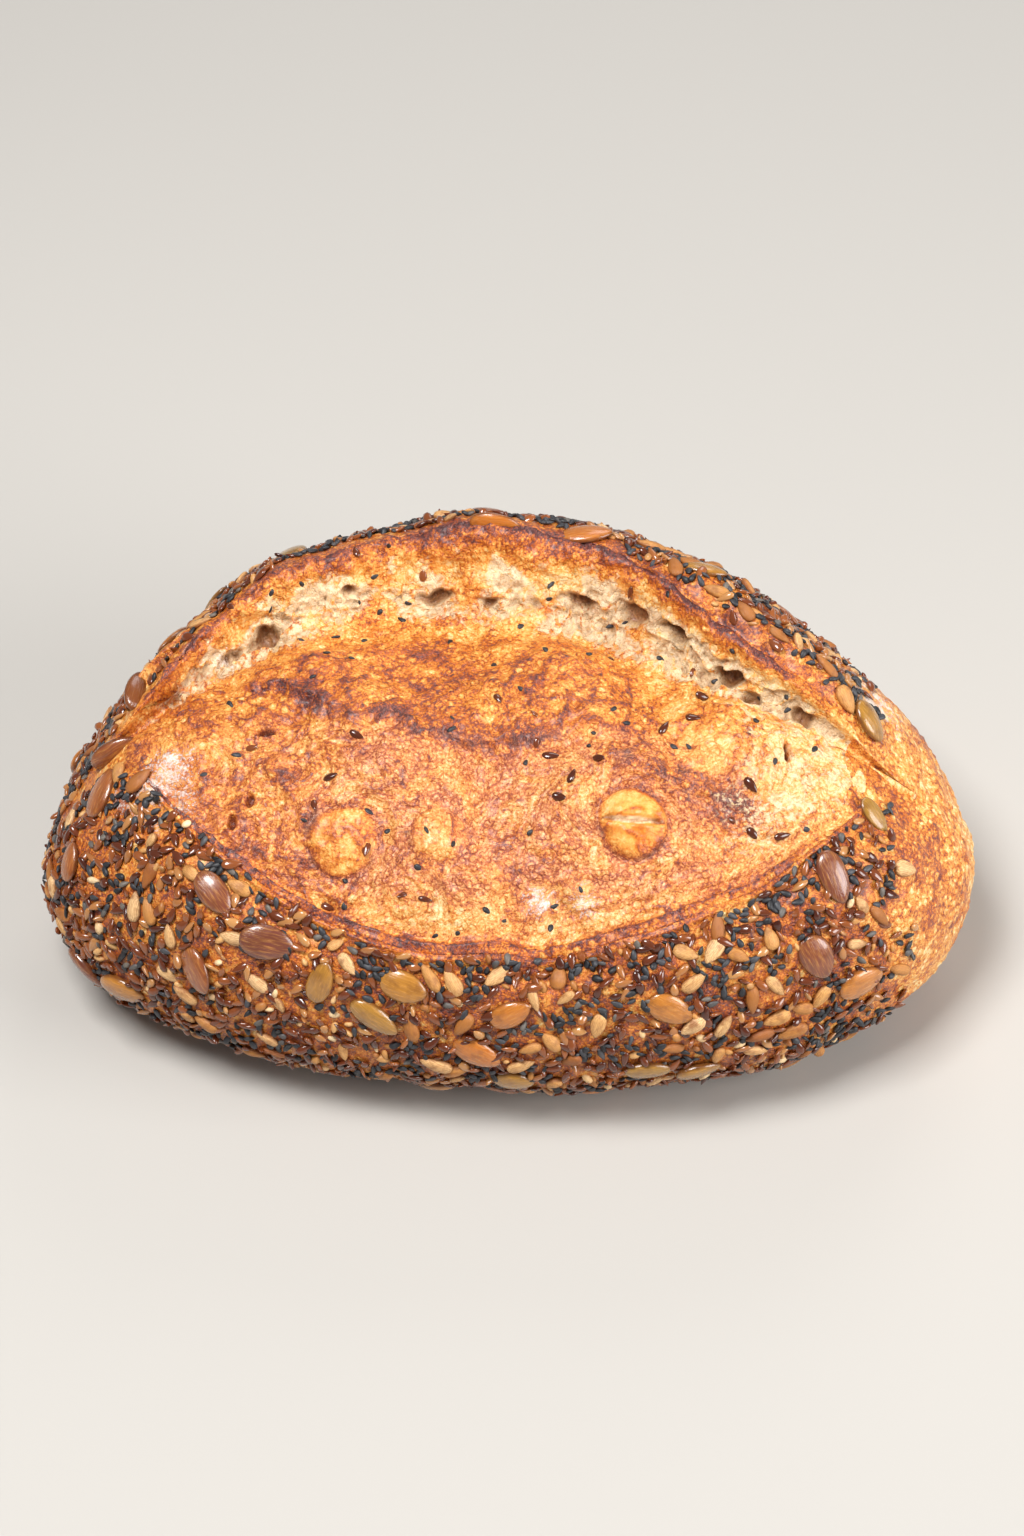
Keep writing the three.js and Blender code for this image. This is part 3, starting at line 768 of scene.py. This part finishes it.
# the low lip: creases that run along it, deepest to the right
lip_zone = smooth(10.2, 8.2, bloom_place + 0.5 * shift) * open_here
creases = noise(np.stack([base[:, 0] * 0.12, bloom_place * 9 + 0.8 * shift, 0 * bloom_x], -1), 1.6, 94)
relief += lip_zone * 0.6 * creases * along_x((-60, 20, 60), (0.4, 0.7, 1.4))
roll_line = along_x((-100, 0, 60, 100), (7.5, 7.55, 7.75, 7.8)) + 0.1 * noise(base, 9, 95)
roll_width = along_x((-60, 20, 60, 100), (0.18, 0.22, 0.34, 0.3))
roll = hump(bloom_place - roll_line, roll_width) * open_here
relief += 1.3 * roll
grain[:, 0] += 7 * smooth(9.3, 7.7, bloom_place + 0.5 * shift)
grain[:, 1:] -= 0.5 * wall[:, None] * (base[:, 1:] - form(bloom_x, np.full(len(base), 16.6))[:, 1:])

tucked = smooth(LIP + 0.1, 6.75, bloom_place) + smooth(RIM - 0.05, BLOOM_EDGES[1], bloom_place)
tucked += smooth(0.15, 0.06, widest)
fade = np.clip(1 - tucked, 0, 1)
bloom_points = base + out * (relief * open_here * fade - 1.4 * np.clip(tucked, 0, 1))[:, None]
set_points(bloom, bloom_points)

# close the sheet below: its edge is drawn down inside the loaf, then gathered at one point
sheet_count = len(bloom.data.vertices)
mode("EDIT")
bpy.ops.mesh.select_mode(type="VERT")
bpy.ops.mesh.select_all(action="DESELECT")
bpy.ops.mesh.select_non_manifold()
bpy.ops.mesh.extrude_region_move()
mode("OBJECT")
MIDDLE_PLACE, HEM_END_X, HEM_CENTRE = 13.0, 116, (0, 0, 0.035)
hem = get_points(bloom.data) * 1000
edge = hem[sheet_count:]
far_edge = edge[:, 1] > form(edge[:, 0], np.full(len(edge), MIDDLE_PLACE))[:, 1]
at_end = np.abs(edge[:, 0]) > HEM_END_X
hem[sheet_count:, 0] *= np.where(at_end, 0.9, 0.97)
hem[sheet_count:, 1] += np.where(at_end, 0, np.where(far_edge, 8, 14))
hem[sheet_count:, 2] -= np.where(far_edge | at_end, 28, 12)
set_points(bloom, hem)
mode("EDIT")
bpy.ops.mesh.extrude_region_move()
bpy.ops.mesh.merge(type="CENTER")
mode("OBJECT")
bloom.data.vertices[len(bloom.data.vertices) - 1].co = HEM_CENTRE
smooth_and_outward()


def pad(values):
    """The values of the sheet and a zero for each point of its hem."""
    return np.append(values, np.zeros(len(bloom.data.vertices) - len(values)))


# how dark each place baked: base tone, then the scorched crests, rings and rim
gold = along_x((-110, -80, -40, 0, 40, 75, 105), (0.38, 0.34, 0.3, 0.3, 0.27, 0.2, 0.16))
bloom_bake = gold + 0.1 * rough(warped, 18, 3, 100)
bloom_bake += 0.17 * mass * (0.8 + 0.6 * noise(base, 9, 104))
bloom_bake += 0.26 * wrinkle
bloom_bake += 0.48 * crest * (0.9 + 0.3 * noise(base, 7, 106) + 0.6 * noise(base, 2.4, 109))
bloom_bake += 0.34 * ring - 0.02 * blister_top
bloom_bake += split_bubble * (-0.03 + 0.16 * noise(base * (0.4, 1.6, 1), 4, 111))
bloom_bake += 0.3 * holes
bloom_bake -= 0.13 * wall * smooth(18.6, 17.0, bloom_place)
rim_place = bloom_place + 0.3 * noise(base, 8, 107) + 0.2 * noise(base, 3, 108)
scorched = 0.27 * smooth(17.2, 18.2, rim_place) + 0.36 * smooth(18.35, 18.85, rim_place)
bloom_bake += scorched * open_here * along_x((-110, -70, -35, 0), (0.4, 0.5, 0.8, 1))
bloom_bake += 0.12 * lip_zone * smooth(0.1, 0.7, creases) + 0.36 * roll + 0.2 * smooth(7.5, 7.0, bloom_place)
pale_band = hump(bloom_place - 8.3, 0.35) * along_x((-60, -40, 40, 60), (0, 1, 1, 0))
bloom_bake -= 0.14 * pale_band
bloom_bake += 0.08 * smooth(10.5, 8.6, bloom_place) * smooth(-20, -50, bloom_x)

# the rosy veil lies over the near half of the skin, but not on what stands out of it
veil = smooth(12.6, 11.0, warped_place) * smooth(7.6, 8.4, bloom_place)
veil *= along_x((-100, -60, -35, 30, 70, 95), (0.2, 0.45, 0.9, 0.9, 0.5, 0.2))
standing_out = (
    (0.8, blister_top), (0.6, pale_band), (0.7, crest), (0.6, wrinkle), (1, split_bubble), (1, mass),
)
for share, there in standing_out:
    veil *= 1 - share * there

# pale crumb shows where the skin tore, in the caves, in patches of the ear's inside and at the right
crumb = open_crumb * (0.3 + 0.7 * smooth(0.02, 0.12, struts))
pale_wall = 0.75 * wall * smooth(0.1, 0.5, rough(warped, 14, 2, 110)) * smooth(18.2, 17.2, bloom_place)
pale_right = smooth(46, 80, bloom_x) * smooth(8.3, 9.3, bloom_place) * smooth(14.8, 13.6, bloom_place)
pale_right *= 0.3 + 0.22 * smooth(-0.3, 0.3, rough(warped, 9, 2, 116))
crumb = np.clip(crumb + 0.8 * cave + pale_wall + pale_right, 0, 1)
# painted shade: the caves, the pits and hollows of the crumb, the holes and the split are darkened as though
# in shade, more the deeper they lie
recess_shade = cave**1.2 + 0.5 * open_crumb * pits + 0.3 * open_crumb * smooth(0.15, 0.4, struts)
recess_shade += 0.9 * holes + 2 * split * smooth(4.5, 7.0, np.abs(split_gap[:, 0]))
recess_shade += 0.8 * split * smooth(0.5, 0.2, np.abs(split_off + 0.3 * noise(base, 2, 80)))
BLOOM_FLOUR = (
    (8, 8.8, 5, 0.7), (21, 8.7, 5, 0.6), (-99, 9.6, 8, 0.75), (-95, 8.6, 6, 0.6), (-86, 15.9, 6, 0.5),
)
bloom_keeps = {
    "Bake": bloom_bake,
    "Veil": np.clip(veil, 0, 1),
    "Crumb": np.maximum(crumb, 0.9 * split),
    "Flour": flour_at(base, BLOOM_FLOUR),
    "Calm": np.maximum(0.4 * blister_top, 0.8 * split_bubble),
    "Painted_Shade": np.clip(recess_shade, 0, 1),
}
for name, values in bloom_keeps.items():
    keep_mask(bloom, name.lower(), pad(values))
keep_vectors(bloom, "grain", np.stack([pad(column) for column in grain.T * MM], -1))


def bloom_masks(nodes):
    masks = {name: nodes.mask(name.lower()) for name in bloom_keeps}
    masks["Grain"] = nodes.vector("grain")
    return masks


bloom.data.materials.append(baked_material("bloom_skin", bloom_masks, 0.25))
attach(bloom, "root")
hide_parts("loaf")

# ---- Pumpkin seeds ----
# Hulled kernels, flat ovals with one pointed end and a thin rim, some green, some baked amber and
# some dark brown. They were pressed onto the wet dough before baking and stand half proud of it.
def in_view(px, py, piece):
    """Where the sight line through a point of the picture meets a piece, in metres, and its normal."""
    found, point, normal, _ = piece.ray_cast(camera.location, ray_through(px, py))
    return (np.array(point), np.array(normal)) if found else None


def tangent(out, toward):
    """The unit direction along the surface that points most nearly the asked way."""
    flat = toward - (toward @ out) * out
    return flat / np.linalg.norm(flat)


def turned_in_view(out, degrees):
    """A direction along the surface that shows in the picture at an angle from its right."""
    c, s = math.cos(math.radians(degrees)), math.sin(math.radians(degrees))
    up = np.array([0, math.sin(LOOK_DOWN), math.cos(LOOK_DOWN)])
    return tangent(out, np.array([1.0, 0, 0]) * c + up * s)


def seed_model(around, rings, size, pointed, blunt, flat=1.0):
    """One kernel about the origin, its long axis on X: a ball drawn out to a point at +X."""
    bpy.ops.object.select_all(action="DESELECT")
    bpy.ops.mesh.primitive_uv_sphere_add(
        segments=around, ring_count=rings, radius=1, rotation=(0, math.pi / 2, 0)
    )
    bpy.ops.object.transform_apply(location=False, rotation=True, scale=False)
    model = bpy.context.object
    ball = get_points(model.data)
    narrowing = np.clip(1 - ball[:, 0], 0.02, 2) ** pointed * np.clip(1 + ball[:, 0], 0.02, 2) ** blunt
    ball[:, 1:] *= narrowing[:, None] / narrowing.max()
    ball[:, 2] = signed_power(ball[:, 2], flat)
    own = ball / np.abs(ball).max(axis=0)
    faces = fixed_faces(model.data)
    bpy.data.objects.remove(model)
    return own * np.array(size) / 2, own, faces


FLOOR_GAP = 0.0002  # in metres, so that no seed goes through the table top


def joined_seeds(name, model, seats, paint):
    """One mesh of many copies. A seat is (point, out, along, scale, tone), in metres."""
    shape, own, faces = model
    points, tones = [], []
    for point, out, along, scale, tone in seats:
        turn = np.stack([along, np.cross(out, along), out])
        placed = point + (shape * scale * luck.uniform(0.86, 1.14, 3) * MM) @ turn
        placed[:, 2] = np.maximum(placed[:, 2], FLOOR_GAP)
        points.append(placed)
        tones.append(np.full(len(shape), tone))
    step = len(shape)
    all_faces = [tuple(v + i * step for v in face) for i in range(len(seats)) for face in faces]
    mesh = bpy.data.meshes.new(name)
    mesh.from_pydata(np.concatenate(points).tolist(), [], all_faces)
    mesh.validate()
    piece = bpy.data.objects.new(name, mesh)
    bpy.context.collection.objects.link(piece)
    mesh.polygons.foreach_set("use_smooth", [True] * len(mesh.polygons))
    keep_mask(piece, "tone", np.concatenate(tones))
    keep_vectors(piece, "own", np.tile(own, (len(seats), 1)))
    mesh.materials.append(paint)
    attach(piece, "root")


bpy.context.view_layer.update()
luck = np.random.default_rng(7)
SEEDS_FROM_Z = 0.004  # in metres; lower down the crust lay on the oven floor
face_at, face_out = read(crust.data.polygons, "center"), read(crust.data.polygons, "normal")
face_area = read(crust.data.polygons, "area", 1)[:, 0]
face_mm = face_at * 1000
first_corner = np.array([face.vertices[0] for face in crust.data.polygons])
face_place, face_bare = crust_place[first_corner], bare_end[first_corner]
toward_camera = np.array(camera.location) - face_at
toward_camera /= np.linalg.norm(toward_camera, axis=1)[:, None]
in_sight = (face_out * toward_camera).sum(1)
behind_rim = face_place > RIM + 0.5 + 0.35 * noise(face_mm, 9, 121)
seeded = (face_place < seed_line(face_mm[:, 0])) | behind_rim
seeded = seeded & (face_at[:, 2] > SEEDS_FROM_Z)
seeded_chance = face_area * seeded * np.clip(1 - 1.15 * face_bare, 0, 1)
clumps = noise(face_mm, 11, 120)
# a place and a radius for each seed so far, and far away for those to come
MOST_SEEDS, FAR_AWAY = 9000, 9.0
seeds_so_far = np.full((MOST_SEEDS, 4), FAR_AWAY)
count_so_far = [0]


def free_here(point, radius, squeeze):
    """Whether a seed of that radius has room; below 1, squeeze lets seeds overlap."""
    used = seeds_so_far[: count_so_far[0]]
    gaps = ((used[:, :3] - point) ** 2).sum(1)
    return bool((gaps > ((used[:, 3] + radius) * squeeze) ** 2).all())


def take(point, radius):
    seeds_so_far[count_so_far[0]] = (*point, radius)
    count_so_far[0] += 1


def shown_seat(px, py, turn, piece, radius, sink):
    """The point, out and along of a seed that shows at a point of the picture."""
    point, out = in_view(px, py, piece)
    take(point, radius)
    return point + out * sink, out, turned_in_view(out, turn)


TRIES = 12  # faces thrown at for each seed that is wanted


def scatter_seats(count, radius, squeeze, chance, sink, tilt, scale=(0.88, 1.12)):
    """Seats thrown at the crust's faces by chance, each where it has room."""
    seats = []
    for face in luck.choice(len(chance), size=count * TRIES, p=chance / chance.sum()):
        if len(seats) == count:
            break
        point = face_at[face]
        if not free_here(point, radius, squeeze):
            continue
        take(point, radius)
        out = face_out[face] + luck.normal(0, tilt, 3)
        out /= np.linalg.norm(out)
        along = tangent(out, luck.normal(0, 1, 3))
        size = luck.uniform(*scale)
        seats.append((point + out * sink * size, out, along, size, luck.random()))
    return seats


def seed_paint(name, tones):
    """A seed's material, its nodes and shader, and the colour that a seed's own tone picks."""
    paint, nodes, shader = new_paint(name)
    return paint, nodes, shader, nodes.ramp(nodes.mask("tone"), tones)


def streaks(nodes, stretch, scale):
    """Noise drawn out along a kernel."""
    drawn = nodes.add("ShaderNodeMapping", {"Vector": nodes.vector("own"), "Scale": stretch})
    inputs = {"Vector": drawn.outputs["Vector"], "Scale": scale, "Detail": 4.0}
    return nodes.add("ShaderNodeTexNoise", inputs).outputs["Fac"]


def own_height(nodes):
    """How high a point of a kernel is over its middle plane, 1 at the top."""
    return nodes.add("ShaderNodeSeparateXYZ", {0: nodes.vector("own")}).outputs["Z"]


# Picture x and y, turn in the picture, tone (0 dark brown, 0.5 amber, 1 green) and, for a small
# one, its size.
SHOWN_PUMPKIN = (
    (214, 893, -52, 0.08), (267, 942, -14, 0.0), (197, 969, -66, 0.25), (321, 981, 65, 0.85),
    (404, 986, -20, 0.78), (375, 1016, -48, 0.9), (72, 862, 68, 0.3), (124, 987, 10, 0.72),
    (510, 1013, 35, 0.55), (477, 1051, -38, 0.5), (670, 1008, -33, 0.62), (514, 1078, -6, 0.9),
    (648, 1068, -3, 0.95), (698, 1068, 5, 0.9), (833, 877, -68, 0.05), (816, 956, -62, 0.1),
    (860, 981, 4, 0.6), (873, 816, -48, 0.95, 0.72), (114, 751, 44, 0.2), (103, 794, 75, 0.3),
    (138, 690, 60, 0.35), (495, 522, -5, 0.5), (586, 536, -5, 0.45), (705, 572, -25, 0.85),
    (868, 722, -50, 0.9),
)
PUMPKIN_SIZE, PUMPKIN_SINK = (14.6, 9.2, 3.8), 0.0007
PUMPKIN_TONES = ((0.0, "#6e3a2e"), (0.25, "#8f4c28"), (0.5, "#bb6a22"), (0.75, "#b0742a"), (1.0, "#94702c"))
pumpkin_seats = []
for px, py, turn, tone, *small_size in SHOWN_PUMPKIN:
    seat = shown_seat(px, py, turn, crust, radius=0.0056, sink=PUMPKIN_SINK)
    size = luck.uniform(0.92, 1.06) * (small_size[0] if small_size else 1)
    pumpkin_seats.append((*seat, size, tone))
unseen = np.clip(0.15 - in_sight, 0, 0.15) / 0.15
pumpkin_seats += scatter_seats(
    54, radius=0.0058, squeeze=1.0, chance=seeded_chance * unseen, sink=PUMPKIN_SINK, tilt=0.06,
    scale=(0.88, 1.06),
)
paint, nodes, shader, kernel = seed_paint("pumpkin_kernel", PUMPKIN_TONES)
streak = streaks(nodes, (1.2, 9, 1), 1.6)
kernel = nodes.mix(nodes.between(streak, 0.45, 0.7, 0, 0.4), kernel, "#dc9a44")
kernel = nodes.mix(nodes.between(nodes.noise(4, 3), 0.48, 0.72, 0, 0.55), kernel, "#643418")
kernel = nodes.mix(nodes.between(own_height(nodes), 0.5, 0.05, 0, 0.75), kernel, "#5f3018")
nodes.fill(shader.inputs, {
    "Base Color": kernel,
    "Roughness": nodes.between(streak, 0.3, 0.7, 0.16, 0.3),
    "Coat Weight": 0.7,
    "Coat Roughness": 0.12,
    "Normal": nodes.bump(streak, 0.4, 0.5),
})
pumpkin_model = seed_model(around=18, rings=12, size=PUMPKIN_SIZE, pointed=0.1, blunt=-0.03, flat=0.9)
joined_seeds("pumpkin_seeds", pumpkin_model, pumpkin_seats, paint)

# ---- Sunflower seeds ----
# Hulled kernels, pale cream to toasted tan, drop-shaped and pointed at one end, with a fine grain.
# Those that show in the photo have their picture x and y and their turn in the table.
SHOWN_SUNFLOWER = (
    (904, 869, -5), (878, 916, -30), (856, 943, -10), (898, 968, -20), (738, 955, -25), (686, 953, -20),
    (694, 981, 50), (770, 938, -70), (775, 985, -50), (752, 999, -85), (692, 1025, 45), (723, 1024, 80),
    (776, 1017, 20), (801, 1007, -20), (790, 1030, 25), (759, 1034, 10), (755, 1048, -30), (820, 996, 70),
    (559, 977, 80), (598, 1025, 75), (530, 1047, 30), (521, 1064, 35), (436, 1063, -35), (411, 1026, -85),
    (453, 982, -60), (496, 977, 35), (430, 977, -60), (456, 1069, 40), (150, 911, -75), (171, 935, 85),
    (136, 906, 75), (239, 887, -30), (56, 888, 85), (65, 926, -65), (186, 993, -60), (207, 1022, -30),
    (255, 1050, -25), (257, 981, -40), (348, 964, -55), (74, 818, 80), (716, 592, -20), (745, 612, -60),
    (650, 548, -10), (845, 700, -60), (690, 565, -50), (825, 668, -40),
)
SUNFLOWER_SIZE = (9.3, 4.7, 3.0)
SUNFLOWER_TONES = ((0.0, "#985722"), (0.3, "#c0813c"), (0.65, "#dca45e"), (1.0, "#f0c890"))
sunflower_seats = []
for px, py, turn in SHOWN_SUNFLOWER:
    flip = 180 * luck.integers(2)
    seat = shown_seat(px, py, turn + flip, crust, radius=0.0031, sink=0.0007)
    sunflower_seats.append((*seat, luck.uniform(0.8, 1.06), luck.random()))
fewer_in_sight = np.where(in_sight > 0.1, 0.35, 1.0)
sunflower_seats += scatter_seats(
    250, radius=0.0029, squeeze=0.92, chance=seeded_chance * fewer_in_sight, sink=0.0005, tilt=0.22,
    scale=(0.66, 1.04),
)
paint, nodes, shader, kernel = seed_paint("sunflower_kernel", SUNFLOWER_TONES)
streak = streaks(nodes, (1.0, 7, 3), 1.8)
kernel = nodes.mix(nodes.between(streak, 0.42, 0.66, 0, 0.75), kernel, "#a5622f")
kernel = nodes.mix(nodes.between(nodes.noise(3.5, 3), 0.5, 0.72, 0, 0.7), kernel, "#85491f")
kernel = nodes.mix(nodes.between(own_height(nodes), 0.45, 0.0, 0, 0.7), kernel, "#8a4c24")
nodes.fill(shader.inputs, {"Base Color": kernel, "Roughness": 0.45, "Normal": nodes.bump(streak, 0.4, 0.6)})
sunflower_model = seed_model(around=10, rings=8, size=SUNFLOWER_SIZE, pointed=0.24, blunt=-0.08)
joined_seeds("sunflower_seeds", sunflower_model, sunflower_seats, paint)

# ---- Flax seeds ----
# Small flat glossy drops, red-brown, thick on the near side and with a few stuck to the bloom.
# The dark ones that show on the bloom have their picture x and y and their turn in the table.
SHOWN_FLAX = (
    (751, 785, -50), (753, 834, -45), (782, 836, 10), (560, 797, -15), (599, 758, -5), (572, 776, 80),
    (693, 718, -5), (664, 728, 60), (703, 697, -20), (551, 756, -5), (357, 735, -30), (331, 777, -10),
)
FLAX_SIZE = (4.8, 2.4, 1.25)
FLAX_TONES = ((0.0, "#40190d"), (0.35, "#6c3318"), (0.75, "#945328"), (1.0, "#c08a52"))
BLOOM_PX, BLOOM_PY = (190, 880), (540, 940)  # where the bloom is in the picture
STRAY_SPACING = 2.0  # the stray seeds lie apart, as a share of two seeds' radii
ROUND_BLISTER, ROUND_BLISTER_REACH = (35, 9.95), 0.0085
flax_seats = scatter_seats(
    2280, radius=0.00125, squeeze=0.72, chance=seeded_chance * np.clip(0.75 + 0.9 * clumps, 0.12, None),
    sink=0.0008, tilt=0.45, scale=(0.92, 1.16),
)


def from_camera(point):
    return np.linalg.norm(point - np.array(camera.location))


def bloom_seats(count, radius, sink, tilt, scale):
    """Stray seeds on the bloom, thrown at the picture and kept where the crust hides nothing."""
    seats = []
    while len(seats) < count:
        px, py = luck.uniform(*BLOOM_PX), luck.uniform(*BLOOM_PY)
        hit, blocked = in_view(px, py, bloom), in_view(px, py, crust)
        if hit is None:
            continue
        point, out = hit
        if blocked is not None and from_camera(blocked[0]) < from_camera(point):
            continue
        if not free_here(point, radius, STRAY_SPACING):
            continue
        take(point, radius)
        out = out + luck.normal(0, tilt, 3)
        out /= np.linalg.norm(out)
        along = tangent(out, luck.normal(0, 1, 3))
        seats.append((point + out * sink, out, along, luck.uniform(*scale), 0.6 * luck.random()))
    return seats


# no stray seed lies on the round blister
take(spot(*ROUND_BLISTER) * MM, ROUND_BLISTER_REACH)
for px, py, turn in SHOWN_FLAX:
    seat = shown_seat(px, py, turn, bloom, radius=0.0014, sink=0.0003)
    flax_seats.append((*seat, luck.uniform(0.95, 1.15), 0.1 * luck.random()))
flax_seats += bloom_seats(16, radius=0.0013, sink=0.0001, tilt=0.25, scale=(0.7, 1.0))
paint, nodes, shader, kernel = seed_paint("flax_seed", FLAX_TONES)
gloss = {"Roughness": 0.2, "Coat Weight": 0.5, "Coat Roughness": 0.12}
nodes.fill(shader.inputs, {"Base Color": kernel, **gloss})
flax_model = seed_model(around=8, rings=6, size=FLAX_SIZE, pointed=0.35, blunt=0.0)
joined_seeds("flax_seeds", flax_model, flax_seats, paint)

# ---- Black sesame ----
# The smallest and the most: matt blue-black drops that lie in clumps between the larger seeds, and
# closest together along the slash.
SESAME_SIZE = (3.4, 2.05, 1.15)
SESAME_TONES = ((0.0, "#1d1c1e"), (0.5, "#2b2b2f"), (0.85, "#424246"), (1.0, "#6f665c"))
near_lip = hump(face_place - 6.2, 0.5) + hump(face_place - 20, 0.8)
sesame_chance = seeded_chance * np.clip(0.5 - 1.3 * clumps + 1.1 * near_lip, 0.1, None)
sesame_seats = scatter_seats(
    2300, radius=0.00108, squeeze=0.76, chance=sesame_chance, sink=0.0007, tilt=0.35
)
sesame_seats += bloom_seats(64, radius=0.001, sink=-0.0001, tilt=0.3, scale=(0.65, 0.98))
paint, nodes, shader, kernel = seed_paint("black_sesame_seed", SESAME_TONES)
kernel = nodes.mix(nodes.between(nodes.noise(1.2, 3), 0.5, 0.8, 0, 0.4), kernel, "#4e5056")
nodes.fill(shader.inputs, {"Base Color": kernel, "Roughness": 0.5})
sesame_model = seed_model(around=7, rings=5, size=SESAME_SIZE, pointed=0.25, blunt=-0.05)
joined_seeds("black_sesame", sesame_model, sesame_seats, paint)

# ---- Broken seed bits ----
# Chips of hulled kernels and bran, cream to toasted tan, that fill the gaps between whole seeds.
# They are flatter and more uneven than the seeds are.
BIT_SIZE = (3.7, 2.3, 1.5)
BIT_TONES = ((0.0, "#9a5b28"), (0.35, "#c58845"), (0.7, "#dfae70"), (1.0, "#eed2a4"))
bit_seats = scatter_seats(
    330, radius=0.0011, squeeze=0.8, chance=seeded_chance * np.clip(0.7 + 0.8 * clumps, 0.15, None),
    sink=0.0004, tilt=0.4, scale=(0.6, 1.25),
)
paint, nodes, shader, kernel = seed_paint("broken_kernel", BIT_TONES)
kernel = nodes.mix(nodes.between(nodes.noise(1.5, 3), 0.45, 0.75, 0, 0.6), kernel, "#a4683a")
nodes.fill(shader.inputs, {"Base Color": kernel, "Roughness": 0.45})
bit_model = seed_model(around=6, rings=5, size=BIT_SIZE, pointed=0.1, blunt=0.0, flat=0.7)
joined_seeds("seed_bits", bit_model, bit_seats, paint)

# ---- Floor and light ----
# A plain pale table top under a wide soft light from above and a little to the left. The photo's
# strong golds lose their depth under the usual view transform, so the plain one is set.
FLOOR_SIZE = 8
bpy.ops.object.select_all(action="DESELECT")
bpy.ops.mesh.primitive_plane_add(size=FLOOR_SIZE, location=(0, 0, 0))
floor = bpy.context.object
floor.name = "floor"
paint, nodes, shader = new_paint("pale_floor")
nodes.fill(shader.inputs, {"Base Color": colour("#b9b5af"), "Roughness": 0.9})
floor.data.materials.append(paint)


def softbox(name, place, aim, size, watts):
    bpy.ops.object.light_add(type="AREA", location=place)
    box = bpy.context.object
    box.name = name
    box.data.size = size
    box.data.energy = watts
    box.rotation_euler = (Vector(aim) - Vector(place)).to_track_quat("-Z", "Y").to_euler()


softbox("key", (-0.35, -0.3, 1.3), (0, 0, 0.05), size=0.5, watts=22)
softbox("fill", (1.2, -0.5, 0.65), (0.05, 0, 0.05), size=0.8, watts=19)
softbox("back", (0.3, 1.1, 0.9), (0, 0, 0.08), size=0.6, watts=4)
world = bpy.data.worlds.new("studio")
world.use_nodes = True
Nodes(world.node_tree).fill(
    world.node_tree.nodes["Background"].inputs, {"Color": (1, 1, 1, 1), "Strength": 0.2}
)
bpy.context.scene.world = world
bpy.context.scene.view_settings.view_transform = "Standard"
